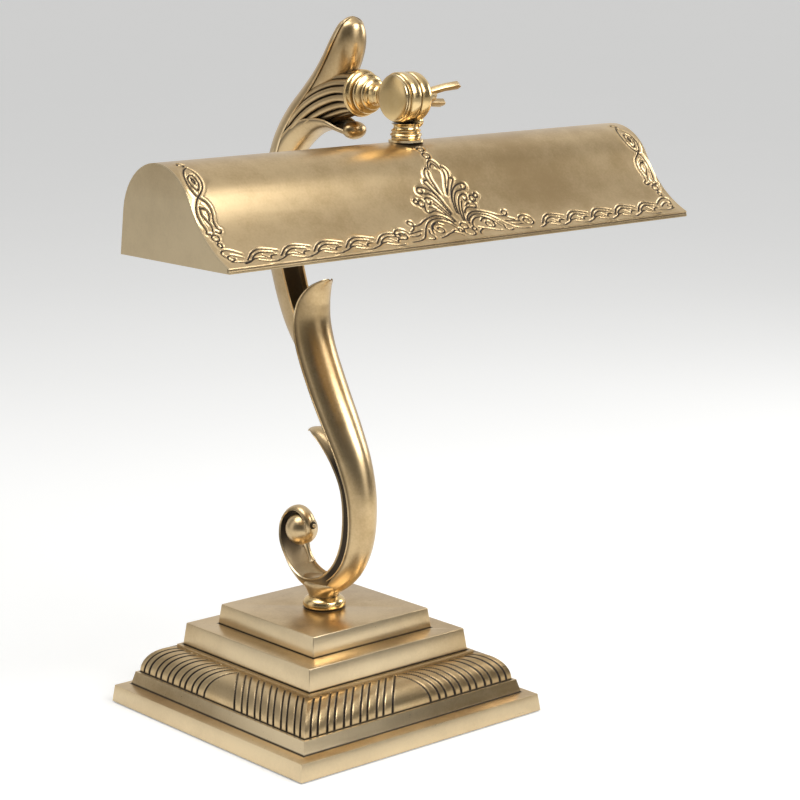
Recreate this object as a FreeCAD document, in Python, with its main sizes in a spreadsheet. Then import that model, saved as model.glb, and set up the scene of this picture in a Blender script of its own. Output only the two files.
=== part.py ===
# Brass piano lamp: stepped square base, scrolled cast arm, tilting ogee shade for two small lamps.
# Frame: origin at the centre of the felt underside, +X along the shade, -Y the front, +Z up.
import FreeCAD, Part, Sketcher
import math
import os
from FreeCAD import Base

# Driving dimensions in millimetres (angles in degrees), one spreadsheet row each.
SIZES = {
    "felt_thickness": 2.0, "felt_inset": 8.0, "foot_gap": 0.8,
    "plinth_side": 200.0, "plinth_draft": 1.4, "plinth_height": 11.0, "bevel_height": 1.2,
    "step_side": 181.8, "step_draft": 2.2, "step_height": 8.4,
    "plinth_wall": 5.0, "step_wall": 4.2, "cover_rebate": 8.2, "deck_thickness": 4.0,
    "course_side": 173.0, "course_radius": 17.6, "course_fillet": 2.0, "course_wall": 8.0, "course_thickness": 3.6,
    "groove_first": 4.5, "reed_narrow": 5.6, "reed_wide": 7.6, "reed_pairs": 5.0,
    "groove_width": 1.6, "groove_depth": 1.5,
    "middle_side": 132.2, "middle_draft": 1.75, "middle_height": 14.6,
    "top_side": 98.9, "top_draft": 1.65, "top_height": 13.2, "step_shell": 3.6,
    "cover_thickness": 1.5, "cover_clearance": 0.4, "boss_radius": 6.0, "boss_inset": 14.0,
    "screw_radius": 2.0, "screw_head_radius": 3.9, "screw_head_height": 2.0, "screw_length": 11.0,
    "inlet_radius": 3.6, "inlet_bore": 2.8, "inlet_lip": 0.7, "inlet_height": 7.3, "inlet_lip_length": 1.2,
    "rod_radius": 5.0, "rod_bore": 3.4, "rod_clearance": 0.2, "rod_reach": 7.0,
    "bridge_length": 150.0, "bridge_width": 30.0, "bridge_thickness": 4.0,
    "nut_height": 6.0, "nut_flats": 17.0, "washer_radius": 12.0, "washer_thickness": 1.6,
    "collar_radius": 14.0, "collar_height": 8.0, "neck_radius": 9.5,
    "arm_reach": 81.2, "arm_rise": 334.9, "leaf_wall": 3.0, "ball_radius": 10.8,
    "calyx_start": 38.0, "calyx_radius": 14.5, "calyx_length": 20.0, "neck_pin_radius": 6.1,
    "knuckle_radius": 15.1, "knuckle_half": 11.0, "knuckle_slot": 0.8, "knuckle_relief": 0.4,
    "cap_radius": 13.4, "cap_thickness": 1.4, "bolt_radius": 3.0, "bolt_head_radius": 5.0,
    "bolt_head_height": 4.0, "bolt_reach": 24.0, "bore_clearance": 0.08, "slide_gap": 0.04,
    "nut_washer_radius": 6.5, "nut_washer_thickness": 0.8,
    "wing_hub_radius": 5.4, "wing_hub_length": 9.0, "wing_reach": 37.0, "wing_spread": 11.5,
    "wing_thickness": 3.2, "wing_angle": 51.0,
    "stem_radius": 9.3, "stem_height": 11.35, "stem_split": 3.4, "flange_radius": 10.6,
    "nipple_radius": 5.0, "nipple_bore": 3.4, "nipple_below": 6.0, "nipple_above": 9.6,
    "shade_length": 362.0, "shade_sheet": 1.0, "shade_underside": 322.6, "dome_radius": 33.6,
    "dome_front": 2.0, "dome_rise": 21.0, "flare_radius": 70.0, "flare_reach": 63.2, "lip_height": 3.3,
    "lip_thickness": 1.6, "back_run": 38.9, "cap_plate": 1.2, "fit_gap": 0.05,
    "bracket_width": 16.0, "bracket_sheet": 2.0, "bracket_span": 52.0, "bracket_drop": 38.0,
    "holder_drop": 25.0, "holder_radius": 13.0, "holder_length": 40.0, "holder_bore": 7.4,
    "holder_bore_depth": 25.0, "holder_tail": 5.0, "locknut_length": 4.0, "locknut_radius": 8.0,
    "bulb_cap_radius": 6.9, "bulb_cap_length": 25.0, "bulb_radius": 13.0, "bulb_length": 66.0,
    "bulb_glass": 1.0,
}

doc = FreeCAD.newDocument("PianoLamp")
sheet = doc.addObject("Spreadsheet::Sheet", "Sizes")
for row, (alias, number) in enumerate(SIZES.items(), start=1):
    sheet.set("A%d" % row, alias)
    sheet.set("B%d" % row, str(number))
    sheet.setAlias("B%d" % row, alias)
doc.recompute()


class Size:
    """A length that knows both its number and the expression that binds it to the sheet."""

    def __init__(self, number, text):
        self.number = float(number)
        self.text = text

    def _join(self, other, sign, number, swapped=False):
        other = other if isinstance(other, Size) else Size(other, repr(float(other)))
        first, second = (other, self) if swapped else (self, other)
        return Size(number(first.number, second.number), "(%s %s %s)" % (first.text, sign, second.text))

    def __add__(self, other):
        return self._join(other, "+", lambda p, q: p + q)

    def __sub__(self, other):
        return self._join(other, "-", lambda p, q: p - q)

    def __mul__(self, other):
        return self._join(other, "*", lambda p, q: p * q)

    def __truediv__(self, other):
        return self._join(other, "/", lambda p, q: p / q)

    def __radd__(self, other):
        return self._join(other, "+", lambda p, q: p + q, swapped=True)

    def __rsub__(self, other):
        return self._join(other, "-", lambda p, q: p - q, swapped=True)

    def __rmul__(self, other):
        return self._join(other, "*", lambda p, q: p * q, swapped=True)

    def __neg__(self):
        return Size(-self.number, "(0 - %s)" % self.text)

    def __float__(self):
        return self.number


class Table:
    """Every alias of the sheet as a Size, so s.plinth_side reads its cell."""

    def __init__(self, names):
        for name in names:
            setattr(self, name, Size(float(sheet.get(name)), "Sizes.%s" % name))


s = Table(SIZES)
ZERO = Size(0.0, "0")

# Levels of the base, from the table up.
plinth_bottom = s.foot_gap
plinth_top = plinth_bottom + s.plinth_height
step_bottom = plinth_top + s.bevel_height
course_bottom = step_bottom + s.step_height
course_spring = course_bottom + s.course_radius
middle_bottom = course_spring + s.course_fillet
top_bottom = middle_bottom + s.middle_height
base_top = top_bottom + s.top_height
arm_bottom = base_top + s.collar_height

# The knuckle axis, which the arm carries and the shade tilts about.
axis_y = -s.arm_reach
axis_z = base_top + s.arm_rise
stem_bottom = axis_z - s.knuckle_radius - s.stem_height

NODES = []


def bind(thing, **values):
    """Bind properties (dots written as double underscores) to their expressions."""
    for name, value in values.items():
        value = value if isinstance(value, Size) else Size(value, repr(float(value)))
        thing.setExpression(name.replace("__", "."), value.text)


def place(thing, x=ZERO, y=ZERO, z=ZERO, axis=None, angle=0.0):
    """Turn a piece about an axis and bind its position to the sheet."""
    if axis is not None:
        thing.Placement = Base.Placement(Base.Vector(), Base.Rotation(Base.Vector(*axis), angle))
    bind(thing, Placement__Base__x=x, Placement__Base__y=y, Placement__Base__z=z)
    return thing


def add(kind, name):
    return doc.addObject(kind, name)


TURN = {"x": ((0, 1, 0), 90.0), "-x": ((0, 1, 0), -90.0), "y": ((1, 0, 0), -90.0),
        "-y": ((1, 0, 0), 90.0), "z": (None, 0.0), "-z": ((1, 0, 0), 180.0)}


def cylinder(name, radius, height, x=ZERO, y=ZERO, z=ZERO, way="z"):
    piece = add("Part::Cylinder", name)
    bind(piece, Radius=radius, Height=height)
    return place(piece, x, y, z, *TURN[way])


def box(name, x0, x1, y0, y1, z0, z1):
    piece = add("Part::Box", name)
    bind(piece, Length=x1 - x0, Width=y1 - y0, Height=z1 - z0)
    return place(piece, x0, y0, z0)


def square_box(name, side, z0, z1):
    return box(name, -side / 2, side / 2, -side / 2, side / 2, z0, z1)


def frustum(name, side_low, side_high, z0, z1):
    """A square block whose four faces lean in from side_low to side_high."""
    piece = add("Part::Wedge", name)
    bind(piece, Xmin=-side_low / 2, Xmax=side_low / 2, Zmin=-side_low / 2, Zmax=side_low / 2,
         X2min=-side_high / 2, X2max=side_high / 2, Z2min=-side_high / 2, Z2max=side_high / 2,
         Ymin=0.0, Ymax=z1 - z0)
    return place(piece, z=z0, axis=(1, 0, 0), angle=90.0)


def join(name, pieces):
    whole = add("Part::MultiFuse", name)
    whole.Shapes = pieces
    return whole


def common(name, pieces):
    whole = add("Part::MultiCommon", name)
    whole.Shapes = pieces
    return whole


def cut(name, base, tools):
    """Take the tools away from the base piece."""
    whole = add("Part::Cut", name)
    whole.Base = base
    whole.Tool = tools[0] if len(tools) == 1 else join(name + "_tools", tools)
    return whole


def solid(name, shape):
    piece = add("Part::Feature", name)
    piece.Shape = shape
    return piece


def node(name, thing):
    """Name a finished sub-part; its label names its file."""
    thing.Label = name
    NODES.append((name, thing))
    return thing


def outline(body, name, plane, points):
    """A closed sketch of straight lines whose corners are bound to the sheet."""
    sketch = body.newObject("Sketcher::SketchObject", name)
    base = [f for f in body.Origin.OriginFeatures if f.Role == plane][0]
    sketch.AttachmentSupport = [(base, "")]
    sketch.MapMode = "FlatFace"
    corners = [Base.Vector(float(u), float(v), 0) for u, v in points]
    for start, end in zip(corners, corners[1:] + corners[:1]):
        sketch.addGeometry(Part.LineSegment(start, end), False)
    count = len(points)
    rule = Sketcher.Constraint
    for index in range(count):
        sketch.addConstraint(rule("Coincident", index, 2, (index + 1) % count, 1))
    for index, (u, v) in enumerate(points):
        for kind, line, value, letter in (("DistanceX", -2, u, "u"), ("DistanceY", -1, v, "v")):
            if value is ZERO:
                sketch.addConstraint(rule("PointOnObject", index, 1, line))
                continue
            number = sketch.addConstraint(rule(kind, -1, 1, index, 1, float(value)))
            sketch.renameConstraint(number, "%s%d" % (letter, index))
            if isinstance(value, Size):
                sketch.setExpression("Constraints.%s%d" % (letter, index), value.text)
    return sketch


def turned(name, points, x=ZERO, y=ZERO, z=ZERO, way="z"):
    """A turned piece: (radius, height) corners revolved about its own axis."""
    body = add("PartDesign::Body", name)
    sketch = outline(body, name + "_profile", "XZ_Plane", points)
    spin = body.newObject("PartDesign::Revolution", name + "_revolution")
    spin.Profile = sketch
    spin.ReferenceAxis = (sketch, ["V_Axis"])
    spin.Angle = 360.0
    return place(body, x, y, z, *TURN[way])


def padded(name, points, width, x=ZERO, y=ZERO, z=ZERO, plane="XZ_Plane"):
    """A profile pushed out by half its width to each side."""
    body = add("PartDesign::Body", name)
    sketch = outline(body, name + "_profile", plane, points)
    pad = body.newObject("PartDesign::Pad", name + "_pad")
    pad.Profile = sketch
    bind(pad, Length=width)
    pad.Midplane = True
    return place(body, x, y, z)


# Base: plinth, gadrooned course and two plain steps, clamped by one threaded tube.

def base_plinth():
    top_side = s.plinth_side - 2 * s.plinth_draft
    step_top_side = s.step_side - 2 * s.step_draft
    outer = join("plinth_outer", [
        frustum("plinth_block", s.plinth_side, top_side, plinth_bottom, plinth_top),
        frustum("plinth_bevel", top_side, s.step_side, plinth_top, step_bottom),
        frustum("plinth_step", s.step_side, step_top_side, step_bottom, course_bottom)])
    low_side = top_side - 2 * s.plinth_wall
    high_side = step_top_side - 2 * s.step_wall
    deck = course_bottom - s.deck_thickness
    opening = s.course_side - 4 * s.course_radius
    hollow = cut("plinth_hollow", outer, [
        square_box("plinth_low_space", low_side, ZERO, s.cover_rebate + plinth_bottom),
        square_box("plinth_high_space", high_side, s.cover_rebate, deck),
        square_box("plinth_deck_opening", opening, deck - 1.0, course_bottom + 1.0),
        cylinder("inlet_hole", s.inlet_radius, s.plinth_side / 2 - high_side / 2 + 6.0,
                 y=high_side / 2 - 2.0, z=s.inlet_height, way="y")])
    spot = low_side / 2 - s.boss_inset
    seat = s.felt_thickness + s.cover_thickness
    bosses = []
    holes = []
    for tag, kx, ky in (("a", 1, 1), ("b", -1, 1), ("c", -1, -1), ("d", 1, -1)):
        bosses.append(cylinder("boss_" + tag, s.boss_radius, deck - seat + 0.5, kx * spot, ky * spot, seat))
        holes.append(cylinder("boss_hole_" + tag, s.screw_radius + s.fit_gap, s.screw_length + 1.0,
                              kx * spot, ky * spot, seat - 0.5))
    bossed = join("plinth_bossed", [hollow] + bosses)
    return node("base_plinth", cut("base_plinth_shape", bossed, holes)), spot, low_side, deck


def ovolo(name, radius, round_bed):
    """Square block with quarter-round sides: two crossed prisms keep what they share."""
    prisms = []
    inner = s.course_side - 2 * s.course_radius
    length = s.course_side + 8.0
    for tag, way in (("x", "x"), ("y", "y")):
        parts = []
        for sign in (-1, 1):
            title = "%s_%s_%s" % (name, tag, "low" if sign < 0 else "high")
            side = sign * inner / 2
            at = {"x": {"x": -length / 2, "y": side}, "y": {"x": side, "y": -length / 2}}[way]
            if round_bed:
                parts.append(cylinder(title, radius, length, z=course_bottom, way=way, **at))
            else:
                bar = add("Part::Prism", title)
                bar.Polygon = 12
                bind(bar, Circumradius=radius, Height=length)
                parts.append(place(bar, z=course_bottom, axis=TURN[way][0], angle=TURN[way][1], **at))
        half = {"x": (length / 2, inner / 2), "y": (inner / 2, length / 2)}[way]
        parts.append(box("%s_%s_core" % (name, tag), -half[0], half[0], -half[1], half[1],
                         course_bottom, course_bottom + radius))
        prisms.append(join("%s_%s_prism" % (name, tag), parts))
    above = square_box(name + "_above", s.course_side + 4.0, course_bottom, middle_bottom)
    return common(name, prisms + [above])


def reed_grooves():
    """Slabs at 45 degrees in plan, parallel to each corner's mitre, in narrow and wide reeds."""
    offsets = []
    place_now = float(s.groove_first)
    for pair in range(int(float(s.reed_pairs))):
        offsets.append(place_now)
        offsets.append(place_now + float(s.reed_narrow))
        place_now += float(s.reed_narrow) + float(s.reed_wide)
    offsets.append(place_now)
    reach = float(s.course_side)
    low = float(course_bottom)
    high = float(course_spring)
    width = float(s.groove_width)
    slabs = []
    for along in (45.0, 135.0):
        turn = Base.Rotation(Base.Vector(0, 0, 1), along)
        for side in (-1, 1):
            for offset in offsets:
                shift = side * offset / math.sqrt(2.0)
                slab = Part.makeBox(2 * reach, width, high - low + 1.0,
                                    Base.Vector(-reach, shift - width / 2, low + 0.8))
                slab.Placement = Base.Placement(Base.Vector(), turn).multiply(slab.Placement)
                slabs.append(slab)
    block = float(s.course_side) / 2 - float(s.course_radius) + 2.0
    keep = Part.makeBox(2 * block, 2 * block, high, Base.Vector(-block, -block, 0))
    return solid("reed_slabs", Part.makeCompound([slab.cut(keep) for slab in slabs]))


def gadrooned_course():
    outer = ovolo("course_outer", s.course_radius, True)
    bed = ovolo("course_bed", s.course_radius - s.groove_depth, False)
    reeds = add("Part::Cut", "course_reeds")
    reeds.Base = outer
    reeds.Tool = reed_grooves()
    top_side = s.course_side - 2 * s.course_radius
    fillet = square_box("course_fillet_block", top_side, course_spring - 2.0, middle_bottom)
    whole = join("course_whole", [reeds, bed, fillet])
    inside = top_side - 2 * s.course_wall
    deck = middle_bottom - s.deck_thickness
    hollow = s.course_radius - s.groove_depth - s.course_thickness
    shape = cut("gadrooned_course_shape", whole, [
        frustum("course_foot_space", top_side + 2 * hollow, top_side, course_bottom, course_bottom + hollow),
        square_box("course_space", inside, course_bottom - 1.0, deck),
        square_box("course_deck_opening", inside * 0.6, deck - 1.0, middle_bottom + 1.0)])
    return node("gadrooned_course", shape)


def plain_step(name, side, draft, z0, z1, opening):
    outer = frustum(name + "_block", side, side - 2 * draft, z0, z1)
    space = square_box(name + "_space", side - 2 * draft - 2 * s.step_shell, z0 - 1.0, z1 - s.step_shell)
    hole = cylinder(name + "_opening", opening, s.step_shell + 2.0, z=z1 - s.step_shell - 1.0)
    return node(name, cut(name + "_shape", outer, [space, hole]))


def base_closing(spot, low_side, deck):
    side = low_side - 2 * s.cover_clearance
    cover = square_box("cover_sheet", side, s.felt_thickness, s.felt_thickness + s.cover_thickness)
    felt_side = s.plinth_side - 2 * s.felt_inset
    felt = square_box("felt_sheet", felt_side, ZERO, s.felt_thickness)
    cover_holes = []
    felt_holes = []
    screws = []
    for tag, kx, ky in (("a", 1, 1), ("b", -1, 1), ("c", -1, -1), ("d", 1, -1)):
        x, y = kx * spot, ky * spot
        cover_holes.append(cylinder("cover_hole_" + tag, s.screw_radius + 0.3, s.cover_thickness + 2.0,
                                    x, y, s.felt_thickness - 1.0))
        felt_holes.append(cylinder("felt_hole_" + tag, s.screw_head_radius + 0.6, s.felt_thickness + 2.0,
                                   x, y, -1.0 * s.fit_gap - 1.0))
        head_bottom = s.felt_thickness - s.screw_head_height
        screws.append(turned("screw_" + tag, [
            (ZERO, s.fit_gap), (s.screw_head_radius - 0.8, s.fit_gap),
            (s.screw_head_radius, s.screw_head_height * 0.5),
            (s.screw_head_radius, s.screw_head_height - s.fit_gap),
            (s.screw_radius, s.screw_head_height - s.fit_gap),
            (s.screw_radius, s.screw_head_height + s.screw_length),
            (ZERO, s.screw_head_height + s.screw_length)], x, y, head_bottom + s.fit_gap))
    node("base_cover_plate", cut("base_cover_plate_shape", cover, cover_holes))
    node("base_felt", cut("base_felt_shape", felt, felt_holes))
    group = add("Part::Compound", "cover_screws_shape")
    group.Links = screws
    node("cover_screws", group)
    face = s.plinth_side / 2
    inner = (s.step_side - 2 * s.step_draft - 2 * s.step_wall) / 2
    node("cord_inlet_bush", turned("cord_inlet_bush", [
        (s.inlet_bore, ZERO), (s.inlet_radius - s.fit_gap, ZERO),
        (s.inlet_radius - s.fit_gap, face - inner + s.fit_gap),
        (s.inlet_radius + s.inlet_lip, face - inner + s.fit_gap),
        (s.inlet_radius + s.inlet_lip, face - inner + s.inlet_lip_length),
        (s.inlet_bore, face - inner + s.inlet_lip_length)],
        y=inner, z=s.inlet_height, way="y"))


def hexagon(name, flats, height, bore, z):
    nut = add("Part::Prism", name + "_hexagon")
    nut.Polygon = 6
    bind(nut, Circumradius=flats / math.sqrt(3.0), Height=height)
    place(nut, z=z)
    hole = cylinder(name + "_bore", bore, height + 2.0, z=z - 1.0)
    return cut(name + "_shape", nut, [hole])


def clamp(deck):
    """The threaded tube that pulls the base together and screws into the arm's foot."""
    loose = s.rod_radius + s.rod_clearance
    bridge_bottom = deck - s.bridge_thickness
    bar = box("bridge_bar", -s.bridge_length / 2, s.bridge_length / 2, -s.bridge_width / 2,
              s.bridge_width / 2, bridge_bottom, deck)
    hole = cylinder("bridge_hole", loose, s.bridge_thickness + 2.0, z=bridge_bottom - 1.0)
    node("clamp_bridge", cut("clamp_bridge_shape", bar, [hole]))
    washer_bottom = bridge_bottom - s.washer_thickness
    node("rod_washer", turned("rod_washer", [
        (loose, ZERO), (s.washer_radius, ZERO), (s.washer_radius, s.washer_thickness),
        (loose, s.washer_thickness)], z=washer_bottom))
    nut_bottom = washer_bottom - s.nut_height
    node("rod_nut", hexagon("rod_nut", s.nut_flats, s.nut_height, s.rod_radius + s.fit_gap, nut_bottom))
    rod_bottom = nut_bottom + 0.5
    rod_top = arm_bottom + s.rod_reach
    node("tie_rod", turned("tie_rod", [
        (s.rod_bore, ZERO), (s.rod_radius, ZERO), (s.rod_radius, rod_top - rod_bottom),
        (s.rod_bore, rod_top - rod_bottom)], z=rod_bottom))
    half = s.collar_height / 2
    node("arm_collar", turned("arm_collar", [
        (loose, ZERO), (s.collar_radius - 1.6, ZERO), (s.collar_radius - 0.4, half * 0.4),
        (s.collar_radius, half * 0.9), (s.collar_radius - 0.5, half * 1.5),
        (s.collar_radius - 2.0, s.collar_height * 0.94), (s.neck_radius + 0.6, s.collar_height),
        (loose, s.collar_height)], z=base_top))


# Arm: castings lofted through sections that stand square to a planar curve.

QUARTER = math.sqrt(0.5)
ARM_RISE_DRAWN = 334.9
ARM_REACH_DRAWN = 81.2


def half_oval(width, depth):
    """Half an ellipse from (-width, 0) over (0, depth) to (width, 0)."""
    poles = [Base.Vector(u, v, 0) for u, v in
             ((-width, 0), (-width, depth), (0, depth), (width, depth), (width, 0))]
    curve = Part.BSplineCurve()
    curve.buildFromPolesMultsKnots(poles, [3, 2, 3], [0.0, 0.5, 1.0], False, 2,
                                   [1.0, QUARTER, 1.0, QUARTER, 1.0])
    return curve.toShape()


def station(y, z):
    """A drawn point of the arm, stretched with the arm's own reach and rise above the base."""
    reach = float(s.arm_reach) / ARM_REACH_DRAWN
    rise = float(s.arm_rise) / ARM_RISE_DRAWN
    return Base.Vector(0, y * reach, float(base_top) + z * rise)


def leaf(rows, back):
    """Loft through rows of (y, z above base, half width, outer depth, inner crown).

    back is +1 where the outer side lies to the left of the direction of travel, else -1."""
    spots = [station(row[0], row[1]) for row in rows]
    wires = []
    for index, (spot, row) in enumerate(zip(spots, rows)):
        before = spots[max(index - 1, 0)]
        after = spots[min(index + 1, len(spots) - 1)]
        run = (after - before).normalize()
        normal = Base.Vector(0, -run.z * back, run.y * back)
        turn = Base.Rotation(Base.Vector(1, 0, 0), normal, Base.Vector(1, 0, 0).cross(normal), "XYZ")
        outer = half_oval(row[2], row[3])
        inner = half_oval(row[2], -row[4])
        wire = Part.Wire([outer, inner])
        wire.Placement = Base.Placement(spot, turn)
        wires.append(wire)
    return Part.makeLoft(wires, True, False)


# Each row: y, height above the base top, half width, outer depth, inner crown.
FRONT_LEAF = [
    (-6.0, 18.5, 8.4, 8.0, 0.4), (-14.5, 22.0, 8.8, 8.2, 0.4), (-24.0, 29.7, 9.2, 8.7, 0.4),
    (-31.0, 39.0, 9.7, 9.2, 0.4), (-36.3, 52.5, 10.2, 9.7, 0.4), (-38.0, 68.0, 10.8, 10.2, 0.4),
    (-36.3, 84.5, 11.6, 11.0, 0.4), (-30.0, 101.8, 13.1, 12.2, 0.4), (-19.2, 121.4, 14.6, 12.8, 0.4),
    (-7.2, 141.6, 15.2, 13.2, 0.4), (3.8, 162.0, 15.2, 13.6, 0.4), (9.3, 176.5, 15.1, 13.8, 0.4),
    (11.2, 189.5, 14.8, 13.0, 0.4), (8.2, 202.5, 13.0, 11.0, 0.4), (0.8, 213.0, 9.0, 7.0, 0.4),
    (-7.0, 218.0, 3.0, 2.4, 0.4)]
CHANNEL_FROM = 8
BACK_LEAF = [
    (11.5, 122.8, 5.5, 1.4, 0.8), (4.5, 119.5, 8.2, 3.4, 1.2), (-8.5, 112.6, 9.4, 6.4, 1.2),
    (-20.0, 101.5, 9.9, 8.6, 1.0), (-28.8, 87.2, 10.0, 8.6, 1.0), (-31.6, 70.0, 10.0, 8.6, 1.0),
    (-30.0, 51.5, 10.0, 9.0, 1.4), (-23.5, 36.2, 10.0, 9.4, 2.0), (-12.5, 24.8, 10.2, 9.6, 3.0),
    (-1.0, 19.6, 10.4, 9.6, 3.6), (10.5, 18.4, 10.6, 8.6, 3.8), (21.0, 22.4, 10.6, 6.6, 3.4),
    (29.0, 30.0, 10.2, 5.0, 2.6), (33.0, 40.0, 9.6, 3.6, 1.8), (33.4, 49.5, 9.0, 2.6, 1.2),
    (29.4, 58.6, 8.4, 2.2, 1.0), (21.5, 62.4, 7.6, 2.0, 1.0), (13.5, 58.8, 6.6, 1.8, 0.8)]
BALL = (21.6, 50.4)
UPPER_ARM = [
    (-27.4, 108.0, 4.6, 2.4, 6.4), (-19.6, 124.5, 6.0, 4.4, 7.4),
    (-9.8, 141.0, 7.8, 6.4, 8.0), (1.0, 156.0, 9.4, 7.8, 8.0),
    (13.4, 170.6, 10.8, 8.8, 4.0), (24.2, 184.0, 11.8, 9.0, -2.0), (32.2, 199.0, 12.0, 9.0, -5.4),
    (38.8, 217.0, 12.0, 9.0, -6.0), (44.2, 237.0, 12.0, 9.0, -5.4), (46.0, 256.0, 12.0, 8.8, -3.0),
    (42.8, 275.0, 12.2, 8.4, 1.0), (36.8, 292.0, 12.4, 8.4, 3.0), (28.0, 306.0, 12.8, 9.4, 5.0),
    (16.0, 318.8, 13.0, 9.8, 7.0), (2.0, 331.0, 13.0, 9.6, 10.6), (-10.3, 343.0, 13.2, 8.8, 13.4),
    (-19.8, 355.0, 13.2, 8.0, 15.0), (-26.8, 366.4, 12.6, 7.0, 13.0), (-30.8, 375.4, 9.8, 5.4, 9.0),
    (-32.4, 380.4, 3.6, 2.2, 3.2)]
LOWER_PETAL = [
    (48.0, 256.0, 6.0, 3.0, 3.0), (43.0, 276.0, 10.0, 7.0, 5.0), (34.0, 291.0, 11.8, 9.4, 5.0),
    (23.0, 303.4, 12.2, 10.0, 4.0), (10.5, 312.6, 12.4, 9.4, 1.5), (-2.0, 316.6, 12.6, 7.8, 0.4),
    (-15.4, 316.8, 12.2, 6.0, -0.6), (-25.6, 313.8, 10.6, 5.0, -1.0), (-33.0, 311.6, 8.0, 4.0, -0.6)]
PETAL_LIP = (-33.0, 311.6)
LIP_RADIUS = 6.2
THROAT = [(36.0, 294.0, 5.5), (27.0, 304.0, 8.5), (17.0, 312.5, 10.6), (6.0, 320.5, 12.2),
          (-6.0, 327.0, 13.0), (-18.0, 331.8, 13.4), (-29.0, 334.4, 13.6)]


def lower_arm():
    front = leaf(FRONT_LEAF, 1)
    scroll = leaf(BACK_LEAF, -1)
    foot = Part.makeCone(float(s.neck_radius), float(s.neck_radius) + 2.6, 9.0,
                         Base.Vector(0, 0, float(arm_bottom)))
    eye = Part.makeSphere(float(s.ball_radius), station(*BALL))
    wall = float(s.leaf_wall)
    channel = leaf([(y, z, half - wall, depth - wall, 3.0)
                    for y, z, half, depth, crown in FRONT_LEAF[CHANNEL_FROM:-2]], 1)
    whole = front.multiFuse([scroll, foot, eye])
    whole = whole.cut([channel, leaf(UPPER_ARM, -1)])
    socket = Part.makeCylinder(float(s.rod_radius) + float(s.fit_gap), float(s.rod_reach) + 0.5,
                               Base.Vector(0, 0, float(arm_bottom) - 0.01))
    return node("lower_arm", solid("lower_arm_shape", whole.cut(socket)))


def throat():
    """The fluted throat of the flower, a horn that ends square to the calyx ring."""
    wires = []
    spots = [station(y, z) for y, z, radius in THROAT]
    end = Base.Vector(0, -float(s.calyx_start), float(axis_z))
    spots.append(end)
    radii = [radius for y, z, radius in THROAT] + [float(s.calyx_radius) - 1.5]
    for index, (spot, radius) in enumerate(zip(spots, radii)):
        before = spots[max(index - 1, 0)]
        after = spots[min(index + 1, len(spots) - 1)]
        run = (after - before).normalize() if index < len(spots) - 1 else Base.Vector(0, -1, 0)
        wires.append(Part.Wire([Part.makeCircle(radius, spot, run)]))
    return Part.makeLoft(wires, True, False)


def upper_arm():
    sheath = leaf(UPPER_ARM, -1)
    petal = leaf(LOWER_PETAL, 1)
    lip = Part.makeSphere(LIP_RADIUS, station(*PETAL_LIP))
    return node("upper_arm", solid("upper_arm_shape", sheath.multiFuse([petal, lip, throat()])))


def calyx_ring():
    start = s.calyx_start
    tip = s.calyx_length
    r = s.calyx_radius
    node("calyx_ring", turned("calyx_ring", [
        (s.bolt_radius + 1.0, ZERO), (r - 2.0, ZERO), (r - 0.5, tip * 0.08), (r, tip * 0.2),
        (r, tip * 0.32), (r - 0.8, tip * 0.45), (r - 3.2, tip * 0.47), (r - 3.2, tip * 0.53),
        (r - 2.4, tip * 0.58), (r - 2.6, tip * 0.7), (r - 5.4, tip * 0.74), (r - 4.6, tip * 0.8),
        (r - 5.0, tip * 0.92), (r - 7.0, tip), (s.bolt_radius + 1.0, tip)],
        y=-start, z=axis_z, way="-y"))


# Knuckle: two halves on one bolt, tightened by a wing nut.

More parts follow.
